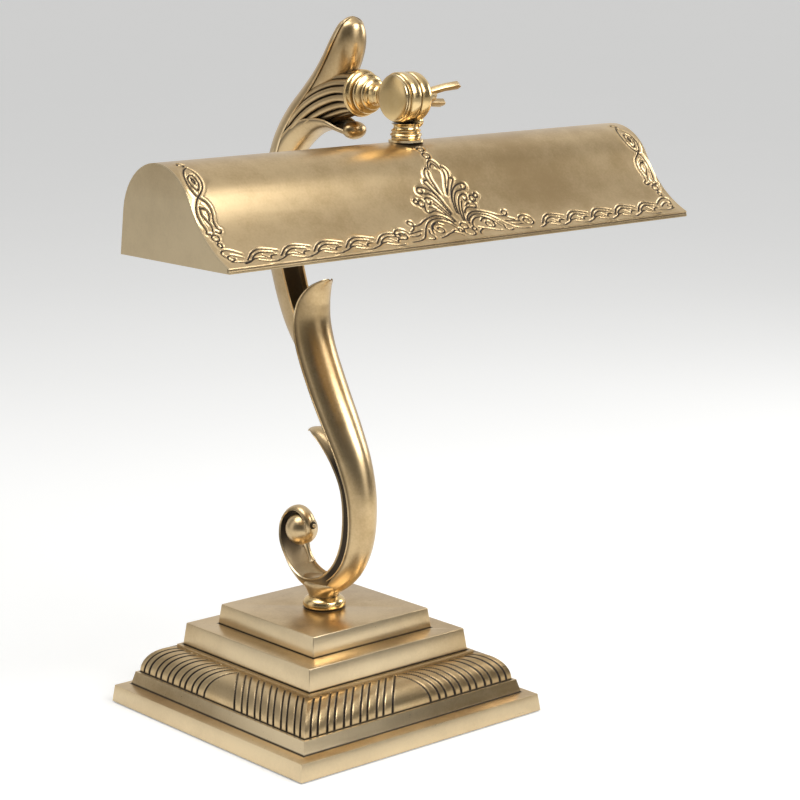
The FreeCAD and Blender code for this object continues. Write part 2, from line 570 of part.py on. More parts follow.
def knuckle():
    half = s.knuckle_half
    slot = s.knuckle_slot / 2
    disc = half - s.cap_thickness
    bore = s.bolt_radius + s.bore_clearance
    head = s.bolt_head_radius + s.rod_clearance
    relief = s.knuckle_radius + s.knuckle_relief
    neck_end = s.calyx_start + s.calyx_length
    left = turned("arm_half_drum", [
        (head, disc), (s.cap_radius, disc), (s.knuckle_radius, disc - 2.2), (s.knuckle_radius, slot),
        (bore, slot), (bore, disc - s.bolt_head_height - 1.0), (head, disc - s.bolt_head_height - 1.0)],
        y=axis_y, z=axis_z, way="-x")
    neck = cylinder("arm_half_neck", s.neck_pin_radius, s.arm_reach - neck_end, y=axis_y, z=axis_z, way="y")
    pin = cylinder("arm_half_pin", s.bolt_radius + 0.9, s.arm_reach - s.calyx_start - 4.0,
                   y=axis_y, z=axis_z, way="y")
    neck_space = [
        cylinder("neck_relief", relief, half, x=-slot, y=axis_y, z=axis_z, way="x"),
        cylinder("neck_bolt_space", bore, half, x=-half, y=axis_y, z=axis_z, way="x"),
        cylinder("neck_head_space", head, half, x=-half - disc + s.bolt_head_height + 1.0,
                 y=axis_y, z=axis_z, way="x")]
    neck_clear = cut("arm_half_neck_clear", join("arm_half_neck_whole", [neck, pin]), neck_space)
    node("knuckle_arm_half", join("knuckle_arm_half_shape", [left, neck_clear]))

    right = turned("shade_half_drum", [
        (bore, slot), (s.knuckle_radius, slot), (s.knuckle_radius, half - 4.0),
        (s.knuckle_radius - 0.7, half - 1.8), (s.knuckle_radius - 2.2, half), (bore, half)],
        y=axis_y, z=axis_z, way="x")
    foot = s.stem_split
    r = s.stem_radius
    post = turned("shade_half_post", [
        (ZERO, foot), (r - 0.9, foot), (r, foot + 0.6), (r, foot + 2.2), (r - 0.7, foot + 2.8),
        (r - 0.7, foot + 3.6), (r - 0.1, foot + 4.2), (r - 0.1, axis_z - stem_bottom),
        (ZERO, axis_z - stem_bottom)], y=axis_y, z=stem_bottom)
    post_space = [
        cylinder("post_relief", relief, half + 4.0, x=-half - 4.0 + slot, y=axis_y, z=axis_z, way="x"),
        cylinder("post_bolt_space", bore, half + 4.0, x=-slot, y=axis_y, z=axis_z, way="x"),
        cylinder("post_thread", s.nipple_radius + s.fit_gap, s.nipple_above + 1.0,
                 y=axis_y, z=stem_bottom - 0.7)]
    post_clear = cut("shade_half_post_clear", post, post_space)
    node("knuckle_shade_half", join("knuckle_shade_half_shape", [right, post_clear]))

    node("knuckle_washer", turned("knuckle_washer", [
        (bore, -slot), (s.knuckle_radius - 2.0, -slot), (s.knuckle_radius - 2.0, slot - s.slide_gap),
        (bore, slot - s.slide_gap)], y=axis_y, z=axis_z, way="x"))
    head_face = disc - 1.0
    node("pivot_bolt", turned("pivot_bolt", [
        (ZERO, head_face), (s.bolt_head_radius, head_face),
        (s.bolt_head_radius, head_face - s.bolt_head_height),
        (s.bolt_radius, head_face - s.bolt_head_height), (s.bolt_radius, 2.0 - s.bolt_reach),
        (s.bolt_radius - 1.2, 0.6 - s.bolt_reach), (ZERO, -s.bolt_reach)],
        y=axis_y, z=axis_z, way="-x"))
    node("knuckle_cap", turned("knuckle_cap", [
        (ZERO, disc + s.fit_gap), (s.cap_radius, disc + s.fit_gap), (s.cap_radius, half - 0.5),
        (s.cap_radius - 0.6, half - 0.1), (s.cap_radius * 0.5, half + 0.05), (ZERO, half + 0.1)],
        y=axis_y, z=axis_z, way="-x"))
    washer_end = half + s.slide_gap + s.nut_washer_thickness
    node("nut_washer", turned("nut_washer", [
        (bore, half + s.slide_gap), (s.nut_washer_radius, half + s.slide_gap),
        (s.nut_washer_radius, washer_end), (bore, washer_end)], y=axis_y, z=axis_z, way="x"))
    wing_nut(washer_end + s.slide_gap, bore)


def wing_nut(start, bore):
    hub_end = start + s.wing_hub_length
    hub = turned("wing_hub", [
        (bore, start), (s.wing_hub_radius, start), (s.wing_hub_radius, start + 2.0),
        (s.wing_hub_radius - 1.2, hub_end), (bore, hub_end)], y=axis_y, z=axis_z, way="x")
    inner = s.wing_hub_radius - 1.8
    wings = []
    for tag, side in (("upper", 1), ("lower", -1)):
        wing = padded("wing_" + tag, [
            (start + 1.5, side * inner), (start + 3.5, side * (inner + 3.0)),
            (s.wing_reach - 13.0, side * (s.wing_spread - 1.8)), (s.wing_reach - 3.0, side * s.wing_spread),
            (s.wing_reach, side * (s.wing_spread - 2.0)), (s.wing_reach - 1.0, side * (s.wing_spread - 4.6)),
            (s.wing_reach - 11.0, side * (inner + 2.2)), (hub_end, side * inner)], s.wing_thickness)
        wing.Placement = Base.Placement(Base.Vector(), Base.Rotation(Base.Vector(1, 0, 0),
                                                                     float(s.wing_angle)))
        bind(wing, Placement__Base__y=axis_y, Placement__Base__z=axis_z)
        wings.append(wing)
    whole = join("wing_nut_whole", [hub] + wings)
    node("wing_nut", cut("wing_nut_shape", whole, [
        cylinder("wing_bore", bore, s.wing_reach, y=axis_y, z=axis_z, way="x")]))


# Shade: one bent sheet with an ogee section, two end plates and the lamp fittings inside.

dome_y = float(axis_y) + float(s.dome_front)
dome_z = float(s.shade_underside) + float(s.dome_rise)


def ogee_points(inset):
    """Corner and arc points of the shade section, moved in by inset from the outer skin."""
    dome = Base.Vector(0, dome_y, dome_z)
    dome_radius = float(s.dome_radius) - inset
    lip_y = float(axis_y) - float(s.flare_reach)
    lip_z = float(s.shade_underside) + float(s.lip_height)
    drawn_lip = Base.Vector(0, lip_y, lip_z)
    flare_radius = float(s.flare_radius)
    reach = (drawn_lip - dome).Length
    span = float(s.dome_radius) + flare_radius
    along = (reach * reach + span * span - flare_radius * flare_radius) / (2 * reach)
    aside = math.sqrt(span * span - along * along)
    direction = (drawn_lip - dome) * (1.0 / reach)
    upward = Base.Vector(0, direction.z, -direction.y)
    upward = upward if upward.z > 0 else upward * -1.0
    flare = dome + direction * along + upward * aside
    flare_radius += inset
    joint = dome + (flare - dome) * (dome_radius / (dome_radius + flare_radius))
    back = Base.Vector(0, float(axis_y) + float(s.back_run), float(s.shade_underside))
    to_back = back - dome
    lean = math.asin(float(s.dome_radius) / to_back.Length)
    heading = math.atan2(-to_back.z, -to_back.y)
    wall_angle = heading - lean
    wall = Base.Vector(0, math.cos(wall_angle), math.sin(wall_angle))
    outward = Base.Vector(0, wall.z, -wall.y)
    touch = dome + outward * dome_radius
    foot = back - outward * inset
    foot = foot - wall * ((foot.z - float(s.shade_underside)) / wall.z)
    crown = dome + Base.Vector(0, -0.25, 1).normalize() * dome_radius
    return {"dome": dome, "flare": flare, "flare_radius": flare_radius, "joint": joint, "touch": touch,
            "foot": foot, "crown": crown, "lip_y": lip_y, "lip_z": lip_z}


def flare_height(section, y):
    """Height of the flare's arc above a given y."""
    run = y - section["flare"].y
    return section["flare"].z - math.sqrt(section["flare_radius"] ** 2 - run * run)


def ogee_edges(section, y):
    """Flare, dome and back wall as edges, from the front lip at y to the back foot."""
    front = Base.Vector(0, y, flare_height(section, y))
    middle_y = (front.y + section["joint"].y) / 2
    middle = Base.Vector(0, middle_y, flare_height(section, middle_y))
    flare = Part.Arc(front, middle, section["joint"]).toShape()
    dome = Part.Arc(section["joint"], section["crown"], section["touch"]).toShape()
    wall = Part.LineSegment(section["touch"], section["foot"]).toShape()
    return front, [flare, dome, wall]


def prism(name, edges, x0, length):
    face = Part.Face(Part.Wire(edges))
    face.translate(Base.Vector(x0, 0, 0))
    return solid(name, face.extrude(Base.Vector(length, 0, 0)))


def shade():
    sheet_gauge = float(s.shade_sheet)
    floor = float(s.shade_underside)
    outer = ogee_points(0.0)
    inner = ogee_points(sheet_gauge)
    outer_front, outer_edges = ogee_edges(outer, outer["lip_y"])
    inner_y = inner["lip_y"] + float(s.lip_thickness)
    inner_front, inner_edges = ogee_edges(inner, inner_y)
    length = float(s.shade_length)
    outer_low = Base.Vector(0, outer_front.y, floor)
    inner_low = Base.Vector(0, inner_y, floor)
    links = [Part.LineSegment(outer_low, outer_front).toShape(),
             Part.LineSegment(outer["foot"], inner["foot"]).toShape(),
             Part.LineSegment(inner_low, outer_low).toShape(),
             Part.LineSegment(inner_front, inner_low).toShape()]
    loop = Part.__sortEdges__(outer_edges + inner_edges + links)
    skin = prism("shade_skin", loop, -length / 2, length)
    hole = cylinder("shade_nipple_hole", s.nipple_radius + 0.2, 14.0, y=axis_y, z=stem_bottom - 8.0)
    node("shade_shell", cut("shade_shell_shape", skin, [hole]))

    gap = float(s.fit_gap)
    plate = ogee_points(sheet_gauge + gap)
    plate_y = plate["lip_y"] + float(s.lip_thickness) + gap
    plate_front, plate_edges = ogee_edges(plate, plate_y)
    plate_low = Base.Vector(0, plate_y, floor)
    plate_links = [Part.LineSegment(plate_low, plate_front).toShape(),
                   Part.LineSegment(plate["foot"], plate_low).toShape()]
    plate_loop = Part.__sortEdges__(plate_edges + plate_links)
    thick = float(s.cap_plate)
    node("end_cap_left", prism("end_cap_left_shape", plate_loop, -length / 2, thick))
    node("end_cap_right", prism("end_cap_right_shape", plate_loop, length / 2 - thick, thick))


def shade_stem():
    r = s.stem_radius
    tall = s.stem_split - s.fit_gap
    bore = s.nipple_radius + s.fit_gap
    node("stem_collar", turned("stem_collar", [
        (bore, ZERO), (s.flange_radius, ZERO), (s.flange_radius, tall * 0.4), (r - 0.6, tall * 0.56),
        (r - 0.6, tall * 0.7), (r - 0.2, tall * 0.84), (r - 0.5, tall), (bore, tall)],
        y=axis_y, z=stem_bottom))
    reach = float(s.dome_radius) - float(s.shade_sheet)
    edge = float(s.bracket_width) / 2
    crown_drop = reach - math.sqrt(reach * reach - edge * edge)
    bracket_top = s.shade_underside + s.dome_rise + s.dome_radius - s.shade_sheet - crown_drop - s.fit_gap
    bracket_low = bracket_top - s.bracket_sheet
    nut_low = bracket_low - s.nut_height * 0.6
    nipple_low = stem_bottom - s.nipple_below - s.nut_height * 0.6
    node("shade_nipple", turned("shade_nipple", [
        (s.nipple_bore, ZERO), (s.nipple_radius, ZERO),
        (s.nipple_radius, stem_bottom + s.nipple_above - nipple_low),
        (s.nipple_bore, stem_bottom + s.nipple_above - nipple_low)], y=axis_y, z=nipple_low))
    nut = add("Part::Prism", "nipple_nut_hexagon")
    nut.Polygon = 6
    bind(nut, Circumradius=s.nut_flats * 0.9 / math.sqrt(3.0), Height=s.nut_height * 0.6)
    place(nut, y=axis_y, z=nut_low)
    nut_hole = cylinder("nipple_nut_bore", bore, s.nut_height, y=axis_y, z=nut_low - 1.0)
    node("nipple_nut", cut("nipple_nut_shape", nut, [nut_hole]))
    lamp_fittings(bracket_top, bracket_low, bore)


def lamp_fittings(top, low, bore):
    half = s.bracket_span / 2
    leg_low = top - s.bracket_drop
    lamp_z = top - s.holder_drop
    lamp_y = axis_y + s.dome_front
    sheet_gauge = s.bracket_sheet
    strap = padded("bracket_strap", [
        (-half, leg_low), (-half, top), (half, top), (half, leg_low), (half - sheet_gauge, leg_low),
        (half - sheet_gauge, low), (-half + sheet_gauge, low), (-half + sheet_gauge, leg_low)],
        s.bracket_width, y=lamp_y)
    tail = s.nipple_radius + s.fit_gap
    holes = [cylinder("bracket_nipple_hole", bore, sheet_gauge + 2.0, y=axis_y, z=low - 1.0),
             cylinder("bracket_lamp_holes", tail, s.bracket_span + 4.0, x=-half - 2.0, y=lamp_y,
                      z=lamp_z, way="x")]
    node("lamp_bracket", cut("lamp_bracket_shape", strap, holes))
    locknuts = []
    for tag, way in (("left", "-x"), ("right", "x")):
        back = half - sheet_gauge - s.locknut_length - 1.0
        face = half + s.holder_length
        node("lampholder_" + tag, turned("lampholder_" + tag, [
            (s.nipple_bore, back), (s.nipple_radius, back), (s.nipple_radius, half),
            (s.holder_radius - 2.0, half), (s.holder_radius, half + 3.0), (s.holder_radius, face - 6.0),
            (s.holder_radius - 0.6, face - 5.0), (s.holder_radius - 0.6, face),
            (s.holder_bore, face), (s.holder_bore, face - s.holder_bore_depth),
            (s.nipple_bore, face - s.holder_bore_depth)], y=lamp_y, z=lamp_z, way=way))
        locknuts.append(turned("locknut_" + tag, [
            (tail, half - sheet_gauge - s.locknut_length), (s.locknut_radius, half - sheet_gauge - s.locknut_length),
            (s.locknut_radius, half - sheet_gauge), (tail, half - sheet_gauge)],
            y=lamp_y, z=lamp_z, way=way))
        seat = face - s.holder_bore_depth + 0.4
        cap_end = seat + s.bulb_cap_length
        node("bulb_cap_" + tag, turned("bulb_cap_" + tag, [
            (ZERO, seat), (s.bulb_cap_radius - 3.0, seat), (s.bulb_cap_radius, seat + 4.0),
            (s.bulb_cap_radius, cap_end), (ZERO, cap_end)], y=lamp_y, z=lamp_z, way=way))
        glass_start = cap_end + 0.05
        tip = glass_start + s.bulb_length
        r = s.bulb_radius
        node("bulb_glass_" + tag, turned("bulb_glass_" + tag, [
            (ZERO, glass_start), (s.bulb_cap_radius - 0.2, glass_start), (r - 2.4, glass_start + 5.0),
            (r, glass_start + 12.0), (r, tip - 14.0), (r * 0.92, tip - 7.0), (r * 0.66, tip - 2.4),
            (r * 0.3, tip - 0.4), (ZERO, tip)], y=lamp_y, z=lamp_z, way=way))
    group = add("Part::Compound", "lampholder_locknuts_shape")
    group.Links = locknuts
    node("lampholder_locknuts", group)


def check_and_write():
    """Stop on any failed object or shape, then write one file for each sub-part."""
    doc.recompute()
    for thing in doc.Objects:
        if "Invalid" in thing.State or "Error" in thing.State:
            raise RuntimeError("%s failed: %s" % (thing.Name, thing.State))
    labels = [name for name, thing in NODES]
    if len(labels) != len(set(labels)):
        raise RuntimeError("two sub-parts share a name")
    for name, thing in NODES:
        shape = thing.Shape
        if shape.isNull() or not shape.isValid() or not shape.Solids or shape.Volume <= 0:
            raise RuntimeError("%s has no valid solid" % name)
    os.makedirs("parts", exist_ok=True)
    for name, thing in NODES:
        thing.Shape.exportStep("parts/%s.step" % name)
        print("%-22s solids %d  volume %10.1f" % (name, len(thing.Shape.Solids), thing.Shape.Volume))


plinth, boss_spot, plinth_space, plinth_deck = base_plinth()
gadrooned_course()
plain_step("middle_step", s.middle_side, s.middle_draft, middle_bottom, top_bottom, s.middle_side * 0.3)
plain_step("top_step", s.top_side, s.top_draft, top_bottom, base_top, s.rod_radius + s.rod_clearance)
base_closing(boss_spot, plinth_space, plinth_deck)
clamp(plinth_deck)
lower_arm()
upper_arm()
calyx_ring()
knuckle()
shade()
shade_stem()
check_and_write()
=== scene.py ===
"""Looks of a brass piano lamp: stepped base, scrolled arm, flower, knuckle and engraved shade."""

from __future__ import annotations

import logging
import math
from contextlib import contextmanager
from dataclasses import dataclass, field
from enum import Enum
from typing import Iterable, Iterator, Sequence

import bmesh
import bpy
from mathutils import Matrix, Vector
from mathutils.geometry import delaunay_2d_cdt

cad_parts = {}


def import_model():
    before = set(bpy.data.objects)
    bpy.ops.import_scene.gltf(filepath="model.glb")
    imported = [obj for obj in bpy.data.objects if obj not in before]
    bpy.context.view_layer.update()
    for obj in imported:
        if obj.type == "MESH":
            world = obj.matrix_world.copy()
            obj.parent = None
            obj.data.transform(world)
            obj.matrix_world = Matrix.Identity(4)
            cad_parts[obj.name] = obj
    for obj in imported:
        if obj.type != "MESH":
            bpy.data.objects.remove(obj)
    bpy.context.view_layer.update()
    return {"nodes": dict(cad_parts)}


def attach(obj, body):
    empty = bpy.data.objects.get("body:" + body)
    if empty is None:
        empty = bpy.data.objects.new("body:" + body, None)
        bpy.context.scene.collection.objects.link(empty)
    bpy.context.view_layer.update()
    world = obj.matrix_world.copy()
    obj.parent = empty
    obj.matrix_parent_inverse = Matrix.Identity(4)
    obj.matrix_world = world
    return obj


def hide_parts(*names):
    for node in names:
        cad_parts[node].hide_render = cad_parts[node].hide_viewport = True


MM = 0.001
BASE_TOP = 68.8
TILT_AXIS_HEIGHT = 403.7
# Point attribute with the share of painted shade and patina that darkens each piece.
SHADE_AND_PATINA_ATTRIBUTE = "engraving"
LOG = logging.getLogger("piano_lamp")
Point2 = tuple[float, float]
Point3 = tuple[float, float, float]
Row = tuple[float, ...]
Colour = tuple[float, float, float]


def linear(red: int, green: int, blue: int) -> Colour:
    """Turn an eight-bit display colour into the linear values that a shader takes.

    Args:
        red: Red from 0 to 255.
        green: Green from 0 to 255.
        blue: Blue from 0 to 255.

    Returns:
        The three linear values.
    """
    def one(value: int) -> float:
        """Linear value of one channel."""
        part = value / 255.0
        return part / 12.92 if part <= 0.04045 else ((part + 0.055) / 1.055) ** 2.4
    return one(red), one(green), one(blue)


class Body(Enum):
    """The moving groups of the lamp."""

    STAND = "stand"
    SHADE = "shade"
    WING = "wing"


class Slot(Enum):
    """The material slots that the lamp's record names."""

    ANTIQUE = "antique_brass"
    POLISHED = "polished_brass"
    STEEL = "steel"
    FELT = "felt"
    PORCELAIN = "porcelain_white"
    BUSH = "bush_black"
    GLASS = "bulb_glass"


# Node graphs


class Graph:
    """Writes nodes into one shader tree or geometry tree."""

    def __init__(self, tree: bpy.types.NodeTree) -> None:
        """Keep the tree that the nodes go into."""
        self.tree = tree

    def node(self, kind: str, settings: dict | None = None, inputs: dict | None = None) -> bpy.types.Node:
        """Add one node.

        Args:
            kind: The node's type name.
            settings: Properties set before any link.
            inputs: Values, sockets or terms by the name or number of their input.

        Returns:
            The new node.
        """
        made = self.tree.nodes.new(kind)
        for name, value in (settings or {}).items():
            setattr(made, name, value)
        for name, value in (inputs or {}).items():
            self.feed(made.inputs[name], value)
        return made

    def feed(self, socket: bpy.types.NodeSocket, value: object) -> None:
        """Link a term or socket to an input, or set a plain value on it."""
        if isinstance(value, Term):
            self.tree.links.new(value.socket, socket)
        elif isinstance(value, bpy.types.NodeSocket):
            self.tree.links.new(value, socket)
        elif isinstance(value, tuple) and socket.type == "RGBA" and len(value) == 3:
            socket.default_value = (*value, 1.0)
        else:
            socket.default_value = value

    def term(self, socket: bpy.types.NodeSocket) -> "Term":
        """Wrap an output so that Python's operators work on it."""
        return Term(self, socket)

    def mix(self, low: object, high: object, share: object) -> "Term":
        """Blend two colours by a share from 0 to 1."""
        made = self.node("ShaderNodeMix", {"data_type": "RGBA"})
        self.feed(made.inputs[0], share)
        self.feed(made.inputs[6], low)
        self.feed(made.inputs[7], high)
        return self.term(made.outputs[2])

    def vector(self, x: object, y: object, z: object) -> "Term":
        """Put three values together into a vector."""
        return self.term(self.node("ShaderNodeCombineXYZ", None, {0: x, 1: y, 2: z}).outputs[0])

    def parts(self, vector: object) -> tuple["Term", "Term", "Term"]:
        """Take a vector apart into its three values."""
        split = self.node("ShaderNodeSeparateXYZ", None, {0: vector})
        return tuple(self.term(out) for out in split.outputs)


class Term:
    """One value in a graph, with Python's operators written as Math nodes."""

    def __init__(self, graph: Graph, socket: bpy.types.NodeSocket) -> None:
        """Keep the graph and the output socket."""
        self.graph = graph
        self.socket = socket

    def math(self, operation: str, *others: object) -> "Term":
        """Add a Math node.

        Args:
            operation: The Math node's operation.
            others: The values after this one, in order.

        Returns:
            The result.
        """
        made = self.graph.node("ShaderNodeMath", {"operation": operation},
                               dict(enumerate((self, *others))))
        return Term(self.graph, made.outputs[0])

    def after(self, operation: str, first: object) -> "Term":
        """Add a Math node in which this value comes second."""
        made = self.graph.node("ShaderNodeMath", {"operation": operation}, {0: first, 1: self})
        return Term(self.graph, made.outputs[0])

    def __add__(self, other: object) -> "Term":
        """Sum."""
        return self.math("ADD", other)

    def __radd__(self, other: object) -> "Term":
        """Sum with a plain number first."""
        return self.after("ADD", other)

    def __sub__(self, other: object) -> "Term":
        """Difference."""
        return self.math("SUBTRACT", other)

    def __rsub__(self, other: object) -> "Term":
        """Difference with a plain number first."""
        return self.after("SUBTRACT", other)

    def __mul__(self, other: object) -> "Term":
        """Product."""
        return self.math("MULTIPLY", other)

    def __rmul__(self, other: object) -> "Term":
        """Product with a plain number first."""
        return self.after("MULTIPLY", other)

    def __truediv__(self, other: object) -> "Term":
        """Quotient."""
        return self.math("DIVIDE", other)

    def __neg__(self) -> "Term":
        """Opposite."""
        return self.math("MULTIPLY", -1.0)

    def __abs__(self) -> "Term":
        """Size without its sign."""
        return self.math("ABSOLUTE")

    def __mod__(self, other: object) -> "Term":
        """Remainder, never negative."""
        return self.math("FLOORED_MODULO", other)

    def __pow__(self, other: object) -> "Term":
        """Power."""
        return self.math("POWER", other)

    def most(self, other: object) -> "Term":
        """The larger of two values."""
        return self.math("MAXIMUM", other)

    def held(self, low: object, high: object) -> "Term":
        """The value kept between two limits."""
        return self.math("MAXIMUM", low).math("MINIMUM", high)

    def below(self, other: object) -> "Term":
        """One where this value is smaller, else zero."""
        return self.math("LESS_THAN", other)

    def rise(self, low: object, high: object) -> "Term":
        """A smooth step from 0 at low to 1 at high."""
        made = self.graph.node("ShaderNodeMapRange", {"interpolation_type": "SMOOTHSTEP"},
                               {"Value": self, "From Min": low, "From Max": high})
        return Term(self.graph, made.outputs[0])


class GeometryTree(Graph):
    """A Geometry Nodes tree with named inputs, ending in Realize Instances and Set Material."""

    def __init__(self, name: str, sizes: dict[str, float], objects: Sequence[str] = ()) -> None:
        """Start a tree.

        Args:
            name: The tree's name.
            sizes: Each named number input with its value.
            objects: Names of object inputs.
        """
        super().__init__(bpy.data.node_groups.new(name, "GeometryNodeTree"))
        face = self.tree.interface
        face.new_socket("Geometry", in_out="INPUT", socket_type="NodeSocketGeometry")
        self.identifiers: dict[str, str] = {}
        for label in sizes:
            made = face.new_socket(label, in_out="INPUT", socket_type="NodeSocketFloat")
            self.identifiers[label] = made.identifier
        for label in objects:
            made = face.new_socket(label, in_out="INPUT", socket_type="NodeSocketObject")
            self.identifiers[label] = made.identifier
        made = face.new_socket("Finish", in_out="INPUT", socket_type="NodeSocketMaterial")
        self.identifiers["Finish"] = made.identifier
        face.new_socket("Geometry", in_out="OUTPUT", socket_type="NodeSocketGeometry")
        self.sizes = sizes
        self.entry = self.tree.nodes.new("NodeGroupInput")

    def size(self, label: str) -> Term:
        """The named number input as a term."""
        return self.term(self.entry.outputs[label])

    def close(self, geometry: object) -> None:
        """Realize the geometry, give it its finish and send it out."""
        whole = self.node("GeometryNodeRealizeInstances", None, {"Geometry": geometry})
        dressed = self.node("GeometryNodeSetMaterial", None,
                            {"Geometry": whole.outputs[0], "Material": self.entry.outputs["Finish"]})
        self.node("NodeGroupOutput", None, {0: dressed.outputs[0]})

    def shaped(self, patina_and_painted_shade: Term, place: Term) -> bpy.types.NodeSocket:
        """Store the share of patina and painted shade on every point of the blank and move the points to
        their places.
        """
        stored = self.node("GeometryNodeStoreNamedAttribute", {"data_type": "FLOAT", "domain": "POINT"},
                           {"Geometry": self.entry.outputs["Geometry"], "Name": SHADE_AND_PATINA_ATTRIBUTE, "Value": patina_and_painted_shade})
        return self.node("GeometryNodeSetPosition", None,
                         {"Geometry": stored.outputs[0], "Position": place}).outputs[0]

    def welded(self, geometry: object, distance: float) -> bpy.types.NodeSocket:
        """Join points that lie within a distance in millimetres."""
        return self.node("GeometryNodeMergeByDistance", None,
                         {"Geometry": geometry, "Distance": distance * MM}).outputs[0]

    def grow(self, blank: bpy.types.Object, name: str, finish: bpy.types.Material,
             objects: dict[str, bpy.types.Object] | None = None) -> bpy.types.Object:
        """Run the tree on a blank mesh and return the result as a plain mesh object.

        Args:
            blank: The object that the tree starts from, which is removed.
            name: The name of the finished piece.
            finish: The material that the tree sets.
            objects: Objects by the name of their input.

        Returns:
            The finished piece at the origin.
        """
        modifier = blank.modifiers.new(name, "NODES")
        modifier.node_group = self.tree
        for label, value in {**self.sizes, **(objects or {}), "Finish": finish}.items():
            modifier[self.identifiers[label]] = value
        depsgraph = bpy.context.evaluated_depsgraph_get()
        depsgraph.update()
        mesh = bpy.data.meshes.new_from_object(blank.evaluated_get(depsgraph),
                                               preserve_all_data_layers=True, depsgraph=depsgraph)
        mesh.name = name
        blank.modifiers.remove(modifier)
        bpy.data.objects.remove(blank)
        for helper in (objects or {}).values():
            bpy.data.objects.remove(helper)
        return placed(name, mesh)


# Mesh helpers


def placed(name: str, data: bpy.types.ID) -> bpy.types.Object:
    """Link a mesh, curve, light or camera into the scene as an object at the origin."""
    piece = bpy.data.objects.new(name, data)
    bpy.context.scene.collection.objects.link(piece)
    return piece


@contextmanager
def edited(piece: bpy.types.Object) -> Iterator[bmesh.types.BMesh]:
    """Open a piece's mesh for work on it, and write it back at the end."""
    work = bmesh.new()
    work.from_mesh(piece.data)
    yield work
    work.to_mesh(piece.data)
    work.free()


def mesh_of(name: str, points: Iterable[Sequence[float]], faces: Iterable[Sequence[int]]) -> bpy.types.Object:
    """Make a piece from points in millimetres.

    Args:
        name: The piece's name.
        points: Its points.
        faces: Its faces, as numbers of points.

    Returns:
        The new piece.
    """
    mesh = bpy.data.meshes.new(name)
    mesh.from_pydata([tuple(c * MM for c in point) for point in points], [], list(faces))
    mesh.update()
    return placed(name, mesh)


def drawn(name: str, lines: Iterable[Sequence[tuple[float, float, float, float]]]) -> bpy.types.Object:
    """Make a curve object of open polylines, each point given as x, y and z in millimetres and radius."""
    curve = bpy.data.curves.new(name, "CURVE")
    curve.dimensions = "3D"
    for line in lines:
        spline = curve.splines.new("POLY")
        spline.points.add(len(line) - 1)
        for point, (x, y, z, radius) in zip(spline.points, line):
            point.co = (x * MM, y * MM, z * MM, 1.0)
            point.radius = radius
    return placed(name, curve)


def mark(piece: bpy.types.Object, values: Sequence[float]) -> None:
    """Store the share of painted shade and patina on each point of a piece."""
    layer = piece.data.attributes.new(SHADE_AND_PATINA_ATTRIBUTE, "FLOAT", "POINT")
    layer.data.foreach_set("value", list(values))


def flowing(rows: Sequence[Sequence[float]], finer: int) -> list[tuple[float, ...]]:
    """Draw a smooth Catmull-Rom curve through rows of numbers.

    Args:
        rows: Rows of equal length, all of which the curve passes through.
        finer: How many steps it takes from one row to the next.

    Returns:
        The rows of the curve.
    """
    made: list[tuple[float, ...]] = []
    last = len(rows) - 1
    for k in range(last):
        near = (rows[max(k - 1, 0)], rows[k], rows[k + 1], rows[min(k + 2, last)])
        for j in range(finer):
            u = j / finer
            made.append(tuple(
                0.5 * (2 * b + (c - a) * u + (2 * a - 5 * b + 4 * c - d) * u ** 2
                       + (3 * b - a - 3 * c + d) * u ** 3)
                for a, b, c, d in zip(*near)))
    made.append(tuple(rows[last]))
    return made


def outward(piece: bpy.types.Object) -> None:
    """Weld a closed piece's doubles and turn its faces outwards."""
    with edited(piece) as work:
        bmesh.ops.remove_doubles(work, verts=work.verts, dist=0.002 * MM)
        bmesh.ops.recalc_face_normals(work, faces=work.faces)


def united(name: str, pieces: Sequence[bpy.types.Object]) -> bpy.types.Object:
    """Put several closed meshes together in one piece, which keeps their painted shade and patina.

    Args:
        name: The new piece's name.
        pieces: The meshes, which are removed.

    Returns:
        The piece that holds them all.
    """
    work = bmesh.new()
    for piece in pieces:
        if SHADE_AND_PATINA_ATTRIBUTE not in piece.data.attributes:
            mark(piece, [0.0] * len(piece.data.vertices))
        work.from_mesh(piece.data)
        bpy.data.objects.remove(piece)
    mesh = bpy.data.meshes.new(name)
    work.to_mesh(mesh)
    work.free()
    return placed(name, mesh)


def smooth(piece: bpy.types.Object, angle: float) -> None:
    """Shade a piece smooth except across edges sharper than an angle in degrees."""
    piece.data.polygons.foreach_set("use_smooth", [True] * len(piece.data.polygons))
    with edited(piece) as work:
        for edge in work.edges:
            edge.smooth = len(edge.link_faces) != 2 or edge.calc_face_angle(0.0) < math.radians(angle)
    piece.data.update()


def softened(node: bpy.types.Object, name: str, width: float) -> bpy.types.Object:
    """Copy a flat-sided CAD node, welded and without its stored normals, and round its edges.

    Args:
        node: The CAD node.
        name: The new piece's name.
        width: The width of the rounding in millimetres.

    Returns:
        The rounded piece.
    """
    flat, sharp_from = math.radians(1.0), math.radians(30.0)
    piece = placed(name, node.data.copy())
    piece.data.name = name
    piece.data.materials.clear()
    with edited(piece) as work:
        bmesh.ops.remove_doubles(work, verts=work.verts, dist=0.01 * MM)
    normals = piece.data.attributes.get("custom_normal")
    if normals:
        piece.data.attributes.remove(normals)
    with edited(piece) as work:
        bmesh.ops.dissolve_limit(work, angle_limit=flat, verts=work.verts, edges=work.edges)
        sharp = [edge for edge in work.edges
                 if len(edge.link_faces) == 2 and edge.calc_face_angle(0.0) > sharp_from]
        bmesh.ops.bevel(work, geom=sharp, offset=width * MM, segments=3, profile=0.5,
                        affect="EDGES", clamp_overlap=True)
        bmesh.ops.triangulate(work, faces=[f for f in work.faces if len(f.verts) > 4])
    smooth(piece, 40.0)
    return piece


